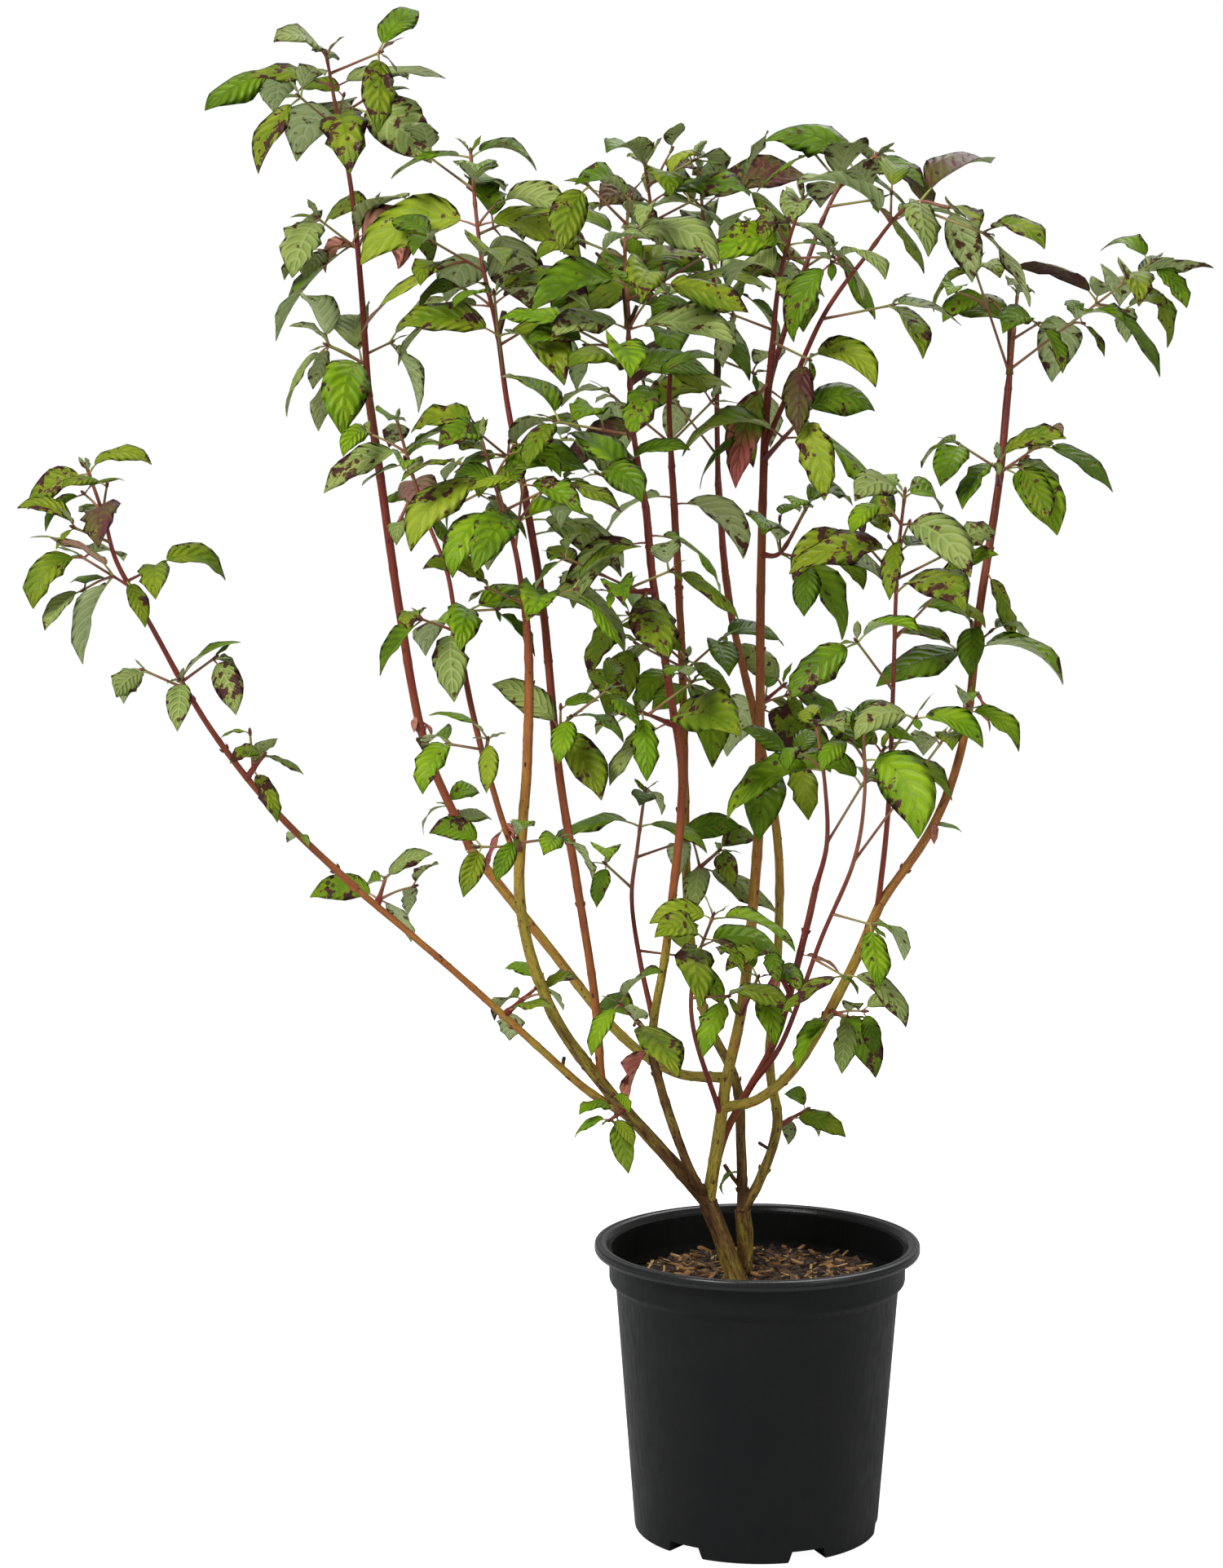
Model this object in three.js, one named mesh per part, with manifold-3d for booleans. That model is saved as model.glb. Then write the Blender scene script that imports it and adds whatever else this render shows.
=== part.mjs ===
// A young red-barked dogwood in a black nursery pot, in millimetres, +Z up, viewer at -Y.
// The origin is the centre of the pot's flat underside. Two trunks leave the soil and fork into
// fourteen boughs, and each crown of leaves grows from a bough by one seeded rule.
import * as THREE from "three";
import { mergeVertices } from "three/addons/utils/BufferGeometryUtils.js";
import Module from "manifold-3d";

const wasm = await Module();
wasm.setup();

// Pot sizes: a five-litre nursery pot with a 230 mm rim
const pot = {
  height: 207,
  rimRadius: 115,
  rimMouth: 107,
  rimDepth: 7,
  collarRadius: 104.8,
  collarFoot: 180,
  stepHeight: 4,
  bodyRadius: 100.2,
  footRadius: 86.4,
  wall: 2,
  floor: 12,
  bevel: 1.5,
  facets: 32,
};
const notch = { count: 6, first: 22.5, height: 8.5, start: 28, foot: 30, head: 24 };
const soil = { top: 180, edge: 176, flat: 48, clear: 0.5 };

// Gap that parted pieces keep, and how far a jacket stands off to leave it on a five-sided limb
const gap = 0.3;
const jacket = 0.38;
const sliver = 0.1;

// Leaf proportions, as shares of the blade's length
const leafShape = { halfWidth: 0.3, keel: 0.02, stalk: 0.16, stalkRadius: 0.55, rows: 4 };
const ribSteps = 12;
const samplesPerSpan = 24;
const sprig = { foot: 1.4, tip: 1.5 };
const stemTip = 1.7;
const attempts = 7;

// Room that a leaf keeps from stems, from leaves of its own mass and of others, and from the pot
const clearOf = { stalk: 3.2, ownLeaf: 5.5, otherLeaf: 6.5, pot: 8 };

// Leaves turn their upper sides this many degrees to the light at the front, most where they point sideways
const lightRoll = 34;

const barkBrown = 0x6f4a2c;
const barkOlive = 0x7d7a35;
const barkRed = 0x7a2b26;
const leafGreen = 0x5e8238;
const potBlack = 0x1b1c1e;
const soilBrown = 0x5a3d28;

// Trunks: radii at foot and tip, width of the root flare, and the points they pass
const trunks = {
  trunk_left: { girth: [6.4, 5.8], flare: 2.2, route: [[-11, -9, 170], [-24, -9, 208], [-35, -8, 237]] },
  trunk_right: { girth: [5.6, 5.2], flare: 2, route: [[-9, 9, 170], [-8, 9, 200], [-10, 8, 227]] },
};

// Boughs: the limb and the joint of its route that each leaves from, its radii, and the points it passes
const boughs = {
  bough_left_front: {
    from: ["trunk_left", 2], girth: [5, 2.3], bark: barkOlive,
    route: [[-70, -25, 280], [-110, -45, 330], [-145, -60, 385], [-165, -70, 460], [-160, -83, 550],
      [-158, -90, 615], [-160, -92, 655]],
  },
  bough_middle: {
    from: ["trunk_left", 2], girth: [4.7, 2.2], bark: barkOlive,
    route: [[-30, -10, 270], [-25, -6, 304], [-22, -4, 325], [-10, 0, 385], [0, 13, 495], [1, 18, 575],
      [1, 14, 670], [3, 5, 775], [7, -3, 830]],
  },
  bough_left_inner: {
    from: ["bough_left_front", 2], girth: [3, 2.3], bark: barkRed,
    route: [[-115, -55, 395], [-128, -60, 480], [-139, -55, 550], [-150, -40, 660], [-162, -30, 735]],
  },
  bough_low_left: {
    from: ["bough_left_front", 1.45], girth: [3.2, 2.6], bark: barkOlive,
    route: [[-120, -46, 325], [-151, -56, 355], [-207, -73, 410], [-275, -90, 472]],
  },
  bough_low_left_tip: {
    from: ["bough_low_left", 4], girth: [2.6, 1.9], bark: barkRed,
    route: [[-327, -104, 526], [-372, -112, 587], [-414, -118, 665]],
  },
  bough_tall_left: {
    from: ["bough_middle", 3], girth: [3.6, 3.1], bark: barkOlive,
    route: [[-60, 20, 325], [-100, 45, 350], [-150, 70, 408], [-205, 87, 475]],
  },
  bough_tall_left_tip: {
    from: ["bough_tall_left", 4], girth: [3.1, 2.7], bark: barkRed,
    route: [[-238, 98, 550], [-256, 105, 645], [-269, 105, 740], [-277, 100, 800]],
  },
  bough_slim_left: {
    from: ["bough_left_front", 4.25], girth: [2.1, 1.8], bark: barkRed,
    route: [[-180, -66, 525], [-195, -55, 577], [-208, -38, 637]],
  },
  bough_far_right: {
    from: ["bough_middle", 2], girth: [3.6, 3.1], bark: barkOlive,
    route: [[1, -20, 314], [28, -28, 342], [60, -38, 403], [82, -42, 455]],
  },
  bough_far_right_tip: {
    from: ["bough_far_right", 4], girth: [3.1, 2.3], bark: barkRed,
    route: [[119, -37, 510], [140, -26, 570], [151, -10, 655], [165, 8, 740], [172, 20, 805]],
  },
  bough_centre_front: {
    from: ["trunk_left", 2], girth: [3.4, 2.2], bark: barkBrown,
    route: [[-50, -25, 268], [-69, -40, 326], [-75, -46, 362], [-65, -54, 430], [-55, -62, 537],
      [-64, -66, 605], [-75, -70, 677], [-80, -72, 727]],
  },
  bough_centre_back: {
    from: ["trunk_right", 2], girth: [3.8, 2.2], bark: barkOlive,
    route: [[-11, 13, 270], [-15, 20, 318], [-37, 30, 365], [-48, 43, 430], [-51, 57, 530], [-52, 64, 595],
      [-55, 72, 665], [-60, 80, 750]],
  },
  bough_right_back: {
    from: ["trunk_right", 2], girth: [3.8, 2.2], bark: barkOlive,
    route: [[3, 12, 250], [15, 24, 286], [10, 40, 330], [17, 66, 405], [17, 90, 483], [2, 111, 565],
      [-17, 130, 650], [-25, 143, 735]],
  },
  bough_red_right: {
    from: ["trunk_left", 2], girth: [3, 2], bark: barkRed,
    route: [[-24, 2, 280], [-10, -3, 310], [13, -20, 360], [30, -48, 435], [36, -60, 467]],
  },
};

// Leaf masses. Each grows from a joint of its bough as one stem, through the points of its route,
// with pairs of leaves of the given length from its tip down. Each row after that is a side sprig:
// joint of the stem, heading, rise in degrees, reach, pairs.
const masses = {
  leaves_tall_left_crown: {
    from: ["bough_tall_left_tip", 4], pairs: 3, leaf: 72,
    route: [[-281, 92, 875], [-287, 85, 945], [-296, 80, 996], [-303, 76, 1038]],
    sprigs: [[0.3, 205, 25, 32, 2], [0.4, 45, 20, 25, 1], [1.4, 205, 35, 36, 2], [1.4, 55, 55, 34, 1],
      [2.8, 225, 30, 42, 1], [3, 35, 30, 44, 2], [3.5, 150, 15, 46, 1], [3.7, 325, 15, 46, 1]],
  },
  leaves_tall_left_spur: {
    from: ["bough_tall_left_tip", 2.5], pairs: 2, leaf: 42, route: [[-250, 112, 724]],
  },
  leaves_tall_left_low: {
    from: ["bough_tall_left", 3.95], pairs: 2, leaf: 42, route: [[-222, 100, 505]],
  },
  leaves_slim_left_crown: {
    from: ["bough_slim_left", 3], pairs: 3, leaf: 57,
    route: [[-215, -30, 680], [-229, -20, 716], [-241, -11, 752], [-250, -5, 783]],
    sprigs: [[0.1, 200, 20, 26, 2], [0.4, 320, 5, 38, 2], [2, 330, 25, 46, 1]],
  },
  leaves_slim_left_low: {
    from: ["bough_slim_left", 1.6], pairs: 1, leaf: 54, route: [[-186, -84, 572]],
    sprigs: [[0.5, 185, 10, 24, 1], [0.8, 345, 30, 27, 2]],
  },
  leaves_left_front_crown: {
    from: ["bough_left_front", 7], pairs: 3, leaf: 66,
    route: [[-167, -96, 700], [-178, -95, 736], [-189, -91, 772]],
    sprigs: [[0.2, 140, 15, 32, 1], [0.2, 330, 15, 40, 2], [1, 285, 62, 50, 2], [1.7, 20, 25, 46, 1]],
  },
  leaves_left_front_low: {
    from: ["bough_left_front", 4.4], pairs: 1, leaf: 48, route: [[-166, -98, 507]],
    sprigs: [[0.3, 185, 0, 26, 1], [0.6, 335, 10, 30, 1]],
  },
  leaves_left_inner_crown: {
    from: ["bough_left_inner", 5], pairs: 5, leaf: 72,
    route: [[-174, -20, 795], [-181, -14, 845], [-191, -9, 890], [-196, -4, 930], [-199, 0, 965]],
    sprigs: [[0.3, 215, 35, 42, 2], [0.3, 40, 25, 42, 1], [1.4, 260, 62, 60, 2], [1.8, 40, 25, 45, 1],
      [2.9, 215, 25, 45, 2], [3.5, 40, 20, 45, 2], [4.3, 140, 30, 46, 1]],
  },
  leaves_left_inner_low: {
    from: ["bough_left_inner", 3.2], pairs: 2, leaf: 56, route: [[-131, -84, 587]],
    sprigs: [[0.5, 215, 25, 32, 2], [0.9, 330, 35, 36, 1]],
  },
  leaves_centre_front_crown: {
    from: ["bough_centre_front", 8], pairs: 5, leaf: 72,
    route: [[-88, -74, 775], [-91, -76, 815], [-92, -76, 856], [-94, -74, 896], [-91, -70, 932]],
    sprigs: [[0.2, 215, 20, 38, 2], [1.4, 295, 25, 40, 1], [2.3, 205, 25, 44, 2], [3.2, 300, 15, 40, 1],
      [3.9, 150, 20, 32, 1], [4.5, 210, 40, 38, 1], [1, 190, 10, 52, 2]],
  },
  leaves_centre_front_middle: {
    from: ["bough_centre_front", 6.9], pairs: 2, leaf: 68, route: [[-102, -94, 672]],
    sprigs: [[0.4, 195, 25, 56, 2], [0.8, 320, 20, 44, 1]],
  },
  leaves_centre_front_low: {
    from: ["bough_centre_front", 5.6], pairs: 2, leaf: 75, route: [[-83, -96, 592]],
    sprigs: [[0.4, 200, 20, 50, 2], [0.8, 330, 35, 40, 1]],
  },
  leaves_centre_front_base: {
    from: ["bough_centre_front", 3], pairs: 2, leaf: 57, route: [[-97, -70, 390]],
  },
  leaves_slender_shoot: {
    from: ["bough_centre_front", 3.2], pairs: 2, leaf: 54,
    route: [[-83, -36, 412], [-89, -26, 455], [-85, -15, 490], [-80, -9, 527]],
    sprigs: [[1.2, 20, -10, 34, 1], [2.2, 230, 35, 34, 1], [2.8, 40, 10, 38, 1]],
  },
  leaves_centre_back_crown: {
    from: ["bough_centre_back", 8], pairs: 5, leaf: 72,
    route: [[-62, 85, 793], [-61, 90, 836], [-66, 91, 882], [-74, 91, 928], [-79, 90, 962]],
    sprigs: [[0.4, 150, 35, 56, 2], [0.4, 325, 40, 46, 1], [2, 310, 30, 38, 2], [3, 40, 25, 42, 1],
      [3.9, 50, 20, 45, 1], [4.1, 150, 15, 36, 1], [4.6, 335, 25, 38, 2]],
  },
  leaves_centre_back_middle: {
    from: ["bough_centre_back", 6.1], pairs: 2, leaf: 75, route: [[-50, 36, 616]],
    sprigs: [[0.3, 315, 35, 42, 1], [0.5, 215, 25, 45, 1], [0.8, 170, 40, 52, 2]],
  },
  leaves_centre_back_low: {
    from: ["bough_centre_back", 4.3], pairs: 2, leaf: 56, route: [[-28, 20, 482]],
  },
  leaves_right_back_crown: {
    from: ["bough_right_back", 8], pairs: 4, leaf: 70,
    route: [[-26, 148, 790], [-26, 152, 850], [-29, 151, 886], [-36, 148, 925], [-39, 145, 962]],
    sprigs: [[0.4, 140, 45, 50, 1], [1.6, 310, -15, 40, 1], [2.4, 325, 35, 46, 2], [3, 120, 10, 36, 1],
      [3.5, 40, 30, 42, 1], [4.5, 320, 10, 38, 1]],
  },
  leaves_right_back_low: { from: ["bough_right_back", 1.95], pairs: 2, leaf: 34, route: [[36, 38, 293]] },
  leaves_right_back_middle: {
    from: ["bough_right_back", 6.1], pairs: 2, leaf: 68, route: [[22, 124, 590]],
  },
  leaves_middle_crown: {
    from: ["bough_middle", 9], pairs: 3, leaf: 66,
    route: [[10, -9, 868], [15, -15, 897], [26, -21, 932]],
    sprigs: [[0.2, 300, -15, 46, 1], [0.4, 130, 15, 42, 1], [1.9, 310, 0, 46, 1]],
  },
  leaves_middle_crown_right: {
    from: ["bough_middle", 8.6], pairs: 3, leaf: 68,
    route: [[25, 20, 872], [44, 28, 924], [59, 31, 950], [80, 31, 966]],
    sprigs: [[1.3, 55, 20, 38, 1], [2.2, 320, 5, 36, 1], [2.8, 120, 35, 42, 1]],
  },
  leaves_right_arch_shoot: {
    from: ["bough_middle", 7.9], pairs: 3, leaf: 72,
    route: [[22, -10, 812], [42, -24, 857], [67, -38, 893], [96, -54, 928], [122, -64, 926]],
    sprigs: [[1.9, 335, 10, 50, 1], [2.8, 245, 5, 42, 1], [4, 330, -20, 58, 1]],
  },
  leaves_middle_high: { from: ["bough_middle", 7.8], pairs: 2, leaf: 75, route: [[26, -48, 787]] },
  leaves_middle_side: {
    from: ["bough_middle", 7.2], pairs: 2, leaf: 72, route: [[14, -4, 694], [30, -20, 724]],
    sprigs: [[1, 305, 30, 56, 1]],
  },
  leaves_middle_low: { from: ["bough_middle", 5.4], pairs: 2, leaf: 57, route: [[21, -18, 552]] },
  leaves_dark_red_shoot: {
    from: ["bough_middle", 1.8], pairs: 2, leaf: 68,
    route: [[-46, -30, 364], [-46, -42, 408], [-34, -60, 448]],
    sprigs: [[1.5, 305, 10, 42, 1]],
  },
  leaves_middle_base: { from: ["bough_middle", 3.8], pairs: 1, leaf: 70, route: [[-2, -38, 402]] },
  leaves_far_right_crown: {
    from: ["bough_far_right_tip", 5], pairs: 2, leaf: 57, route: [[175, 21, 840], [178, 24, 870]],
    sprigs: [[0.3, 205, 68, 76, 2], [0.4, 12, 36, 126, 4], [1, 290, 15, 38, 1]],
  },
  leaves_far_right_high: {
    from: ["bough_far_right_tip", 4], pairs: 1, leaf: 66, route: [[161, -24, 756]],
    sprigs: [[0.5, 345, 35, 34, 2], [0.7, 200, 30, 34, 1]],
  },
  leaves_far_right_middle: {
    from: ["bough_far_right_tip", 2.6], pairs: 2, leaf: 64, route: [[142, -44, 647]],
  },
  leaves_upright_shoot: {
    from: ["bough_far_right", 3.9], pairs: 4, leaf: 68,
    route: [[85, -60, 520], [86, -80, 605], [87, -92, 687], [91, -99, 737]],
    sprigs: [[1.5, 290, 35, 46, 1], [2, 230, 40, 54, 1], [2.4, 30, 40, 44, 1], [2.9, 150, 45, 36, 1],
      [2.9, 325, 25, 45, 1]],
  },
  leaves_far_right_base: { from: ["bough_far_right", 2.6], pairs: 2, leaf: 52, route: [[58, -66, 380]] },
  leaves_red_right_crown: {
    from: ["bough_red_right", 5], pairs: 2, leaf: 64,
    route: [[43, -70, 500], [41, -78, 540], [35, -80, 580]],
    sprigs: [[1, 25, 55, 74, 2]],
  },
  leaves_red_right_low: { from: ["bough_red_right", 3.4], pairs: 2, leaf: 43, route: [[3, -62, 423]] },
  leaves_red_right_shoot: {
    from: ["bough_red_right", 2.2], pairs: 2, leaf: 66,
    route: [[16, -32, 357], [40, -62, 433], [60, -88, 490], [66, -101, 537], [64, -109, 587]],
    sprigs: [[1.8, 300, -10, 38, 1], [2.3, 330, -10, 30, 1], [3, 15, 52, 128, 2]],
  },
  leaves_low_left_crown: {
    from: ["bough_low_left_tip", 3], pairs: 2, leaf: 64,
    route: [[-429, -119, 695], [-436, -119, 722], [-446, -118, 752]],
    sprigs: [[0.4, 150, 25, 42, 2], [0.5, 320, 20, 32, 1], [1.4, 225, 20, 30, 1]],
  },
  leaves_low_left_middle: {
    from: ["bough_low_left_tip", 2.2], pairs: 1, leaf: 56, route: [[-386, -134, 616]],
    sprigs: [[0.6, 195, 25, 28, 1], [0.9, 345, 35, 28, 1]],
  },
  leaves_low_left_spur: {
    from: ["bough_low_left_tip", 1.4], pairs: 2, leaf: 36, route: [[-333, -122, 565]],
  },
  leaves_low_left_low: { from: ["bough_low_left", 3.8], pairs: 2, leaf: 42, route: [[-257, -68, 474]] },
  leaves_low_left_base: { from: ["bough_low_left", 2.5], pairs: 3, leaf: 43, route: [[-152, -42, 398]] },
  leaves_left_front_base: {
    from: ["bough_left_front", 1.6], pairs: 2, leaf: 34, route: [[-104, -70, 309]],
  },
};

const radians = THREE.MathUtils.degToRad;
const upward = new THREE.Vector3(0, 0, 1);
const rightward = new THREE.Vector3(1, 0, 0);
const backward = new THREE.Vector3(0, 1, 0);

// Solids from three.js geometries, and back
function asSolid(geometry) {
  const bare = geometry.clone();
  bare.deleteAttribute("normal");
  bare.deleteAttribute("uv");
  const merged = mergeVertices(bare, 1e-3);
  const mesh = { numProp: 3, vertProperties: merged.attributes.position.array };
  mesh.triVerts = new Uint32Array(merged.index.array);
  return new wasm.Manifold(new wasm.Mesh(mesh));
}

function asGeometry(solid) {
  const mesh = solid.getMesh();
  const geometry = new THREE.BufferGeometry();
  geometry.setAttribute("position", new THREE.BufferAttribute(mesh.vertProperties, 3));
  geometry.setIndex(new THREE.BufferAttribute(mesh.triVerts, 1));
  geometry.computeVertexNormals();
  return geometry;
}

function largestPiece(solid) {
  return solid.decompose().sort((a, b) => b.volume() - a.volume())[0];
}

// Moves each vertex of an upright shape of height 1 to the place that its height and sides give.
function bend(geometry, place) {
  const positions = geometry.attributes.position;
  for (let i = 0; i < positions.count; i += 1) {
    const spot = place(positions.getY(i) + 0.5, positions.getX(i), positions.getZ(i));
    positions.setXYZ(i, spot.x, spot.y, spot.z);
  }
  return geometry;
}

// Curves and their frames
function curveThrough(points) {
  return new THREE.CatmullRomCurve3(points, false, "catmullrom", 0.5);
}

function frameReference(curve) {
  const run = curve.getPoint(1).sub(curve.getPoint(0)).normalize();
  return Math.abs(run.y) < 0.8 ? backward : rightward;
}

// A limb is a capped cylinder bent along its curve. A jacket is the same limb a little thicker and longer.
function limbSolid(limb, standOff) {
  const { curve, sides, steps, radiusAt } = limb;
  const reference = frameReference(curve);
  const place = (t, x, z) => {
    const along = curve.getTangent(t);
    const side = along.clone().cross(reference).normalize();
    const normal = side.clone().cross(along);
    const radius = radiusAt(t) + standOff;
    const spot = curve.getPoint(t).addScaledVector(side, x * radius).addScaledVector(normal, z * radius);
    const overrun = t > 0.999 ? standOff : 0;
    return spot.addScaledVector(along, overrun);
  };
  return asSolid(bend(new THREE.CylinderGeometry(1, 1, 1, sides, steps), place));
}

function makeLimb(name, points, girth, sides, stepsPerSpan, flare = 0) {
  const curve = curveThrough(points);
  const spans = points.length - 1;
  const [foot, tip] = girth;
  const radiusAt = (t) => foot + (tip - foot) * t + flare * Math.max(0, 1 - t / 0.45) ** 2;
  return { name, curve, spans, sides, steps: spans * stepsPerSpan, radiusAt };
}

function pointAtJoint(limb, joint) {
  return limb.curve.getPoint(joint / limb.spans);
}

function directionAtJoint(limb, joint) {
  return limb.curve.getTangent(joint / limb.spans);
}

const vector = ([x, y, z]) => new THREE.Vector3(x, y, z);

function growFrom(parent, joint, route) {
  return [pointAtJoint(parent, joint), ...route.map(vector)];
}

// The same two numbers always draw the same chance from 0 to 1.
function chance(seed, draw) {
  const wave = Math.sin(seed * 12.9898 + draw * 78.233) * 43758.5453;
  return wave - Math.floor(wave);
}

function between(seed, draw, low, high) {
  return low + (high - low) * chance(seed, draw);
}

// Things that a leaf keeps clear of: points down every limb and stem, and points over every leaf
const stalkPoints = [];
const leafPoints = [];

function addStalkPoints(limb, mass) {
  const count = limb.spans * samplesPerSpan;
  for (let i = 0; i <= count; i += 1) {
    const t = i / count;
    stalkPoints.push({ at: limb.curve.getPoint(t), radius: limb.radiusAt(t), mass });
  }
}

function meetsStalk(points, node, mass, spare) {
  const near = stalkPoints.filter((stalk) => {
    const apart = stalk.at.distanceTo(node);
    return apart < 95 && !(stalk.mass === mass && apart < 14);
  });
  return points.some((point) => near.some((stalk) => stalk.at.distanceTo(point) < stalk.radius + spare));
}

function meetsLeaf(points, node, mass) {
  const near = leafPoints.filter((leaf) => leaf.at.distanceTo(node) < 90);
  return points.some((point) => near.some((leaf) => {
    return leaf.at.distanceTo(point) < (leaf.mass === mass ? clearOf.ownLeaf : clearOf.otherLeaf);
  }));
}

function meetsPot(points) {
  const rim = pot.rimRadius + clearOf.pot;
  const top = pot.height + clearOf.pot;
  return points.some((point) => point.z < top && Math.hypot(point.x, point.y) < rim);
}

// Half width of a blade at a share of its length: an egg shape drawn out to its tip
function bladeOutline(share) {
  return Math.sin(Math.PI * share ** 0.72) ** 0.85;
}

// A leaf's midrib starts along its stalk and bends down by its droop, with the blade's cross
// direction kept level but for its roll.
function drawLeaf(node, heading, pitch, droop, swing, roll, blade, halfWidth) {
  const stalk = leafShape.stalk * blade;
  const step = (stalk + blade) / ribSteps;
  const rib = [];
  const spot = node.clone();
  for (let i = 0; i <= ribSteps; i += 1) {
    const part = i / ribSteps;
    const turn = radians(heading + swing * part);
    const lean = radians(pitch - droop * part);
    const level = Math.cos(lean);
    const along = new THREE.Vector3(level * Math.cos(turn), level * Math.sin(turn), Math.sin(lean));
    const flatSide = new THREE.Vector3(-Math.sin(turn), Math.cos(turn), 0);
    const side = flatSide.clone().applyAxisAngle(along, radians(roll));
    rib.push({ at: spot.clone(), along, side });
    spot.addScaledVector(along, step);
  }
  return { rib, stalk, blade, halfWidth };
}

function shareOfBlade(leaf, part) {
  const total = leaf.stalk + leaf.blade;
  return Math.max(0, Math.min(1, (part * total - leaf.stalk) / leaf.blade));
}

function leafSamples(leaf) {
  const points = [];
  leaf.rib.forEach(({ at, side }, i) => {
    if (i < 2) return;
    const share = shareOfBlade(leaf, i / ribSteps);
    const width = leaf.halfWidth * bladeOutline(Math.min(share, 0.98));
    for (let across = -3; across <= 3; across += 1) {
      points.push(at.clone().addScaledVector(side, (across / 3) * width));
    }
  });
  return points;
}

// Two directions square to a stem, from which its leaf pairs are turned
function pairFrame(direction) {
  const reference = Math.abs(direction.z) < 0.9 ? upward : rightward;
  const first = reference.clone().cross(direction).normalize();
  return [first, direction.clone().cross(first)];
}

// Draws a leaf up to a few times, each time a little smaller and freer, until it is clear of the rest.
function growLeaf(leaves, number, mass, node, direction, turn, size) {
  const [first, second] = pairFrame(direction);
  for (let attempt = 0; attempt < attempts; attempt += 1) {
    const seed = number * attempts + attempt;
    const around = radians(turn + between(seed, 1, -25, 25) * (1 + 0.5 * attempt));
    const spread = radians(between(seed, 2, 45, 78));
    const outward = first.clone().multiplyScalar(Math.cos(around)).addScaledVector(second, Math.sin(around));
    const start = outward.multiplyScalar(Math.sin(spread)).addScaledVector(direction, Math.cos(spread));
    const heading = THREE.MathUtils.radToDeg(Math.atan2(start.y, start.x));
    const pitch = Math.min(58, Math.max(-35, THREE.MathUtils.radToDeg(Math.asin(start.z))));
    const droop = between(seed, 3, 50, 110) * (pitch < 0 ? 0.6 : 1);
    const swing = between(seed, 4, -28, 28);
    const roll = between(seed, 5, -30, 30) + lightRoll * Math.cos(radians(heading));
    const blade = size * between(seed, 6, 0.84, 1.1) * (1 - 0.05 * attempt);
    const halfWidth = blade * leafShape.halfWidth * between(seed, 7, 0.9, 1.08);
    const leaf = drawLeaf(node, heading, pitch, droop, swing, roll, blade, halfWidth);
    const points = leafSamples(leaf);
    if (meetsPot(points) || meetsStalk(points, node, mass, clearOf.stalk)) continue;
    if (meetsLeaf(points, node, mass)) continue;
    points.forEach((at) => leafPoints.push({ at, mass }));
    leaves.push(leaf);
    return;
  }
}

// Nodes of a stem counted down from its tip
function stemNodes(stem, pairs, spacing) {
  const length = stem.curve.getLength();
  const nodes = [];
  for (let i = 0; i < pairs; i += 1) {
    const t = Math.max(0.12, 0.985 - (i * spacing) / length);
    nodes.push({ at: stem.curve.getPoint(t), direction: stem.curve.getTangent(t) });
  }
  return nodes;
}

// Leaf geometry: a three-sided cone of four rows, its corners drawn out to the blade's edges and keel
const coneHalfWidth = Math.sin(radians(120));
const coneFlank = -Math.cos(radians(120));

function leafSolid(leaf) {
  const total = leaf.stalk + leaf.blade;
  const bladeShares = [0.26, 0.64, 1];
  const partAt = (share) => (leaf.stalk + share * leaf.blade) / total;
  const parts = [0, leaf.stalk / total, ...bladeShares.map(partAt)];
  const widths = [leafShape.stalkRadius, leafShape.stalkRadius * 1.4];
  widths.push(...bladeShares.slice(0, 2).map((share) => leaf.halfWidth * bladeOutline(share)), 0);
  const keel = Math.max(1, leafShape.keel * leaf.blade);
  const keels = [1.4 * leafShape.stalkRadius, 1.6 * leafShape.stalkRadius, keel, keel, 0];
  const place = (t, x, z) => {
    const row = Math.round(t * leafShape.rows);
    const along = parts[row] * ribSteps;
    const before = leaf.rib[Math.min(ribSteps - 1, Math.floor(along))];
    const after = leaf.rib[Math.min(ribSteps, Math.floor(along) + 1)];
    const spot = before.at.clone().lerp(after.at, along - Math.floor(Math.min(along, ribSteps - 1)));
    const normal = before.side.clone().cross(before.along);
    const coneRadius = Math.max(1 - row / leafShape.rows, 1e-6);
    spot.addScaledVector(before.side, (x / coneRadius / coneHalfWidth) * widths[row]);
    return spot.addScaledVector(normal, ((z / coneRadius + coneFlank) / 1.5) * keels[row]);
  };
  return asSolid(bend(new THREE.ConeGeometry(1, 1, 3, leafShape.rows), place));
}

// Pot: a turned shell with a rolled rim and a stepped collar, on six feet parted by drainage channels
function turned(profile) {
  const points = profile.map(([radius, height]) => new THREE.Vector2(radius, height));
  const geometry = new THREE.LatheGeometry(points, pot.facets);
  geometry.rotateX(Math.PI / 2);
  return asSolid(geometry);
}

function drainageChannel(angle) {
  const section = new THREE.Shape();
  section.moveTo(-notch.foot / 2, -1);
  section.lineTo(notch.foot / 2, -1);
  section.lineTo(notch.head / 2, notch.height);
  section.lineTo(-notch.head / 2, notch.height);
  const depth = pot.footRadius + 10 - notch.start;
  const geometry = new THREE.ExtrudeGeometry(section, { depth, bevelEnabled: false });
  geometry.translate(0, 0, notch.start);
  geometry.rotateX(Math.PI / 2);
  geometry.rotateZ(radians(angle));
  return asSolid(geometry);
}

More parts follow.
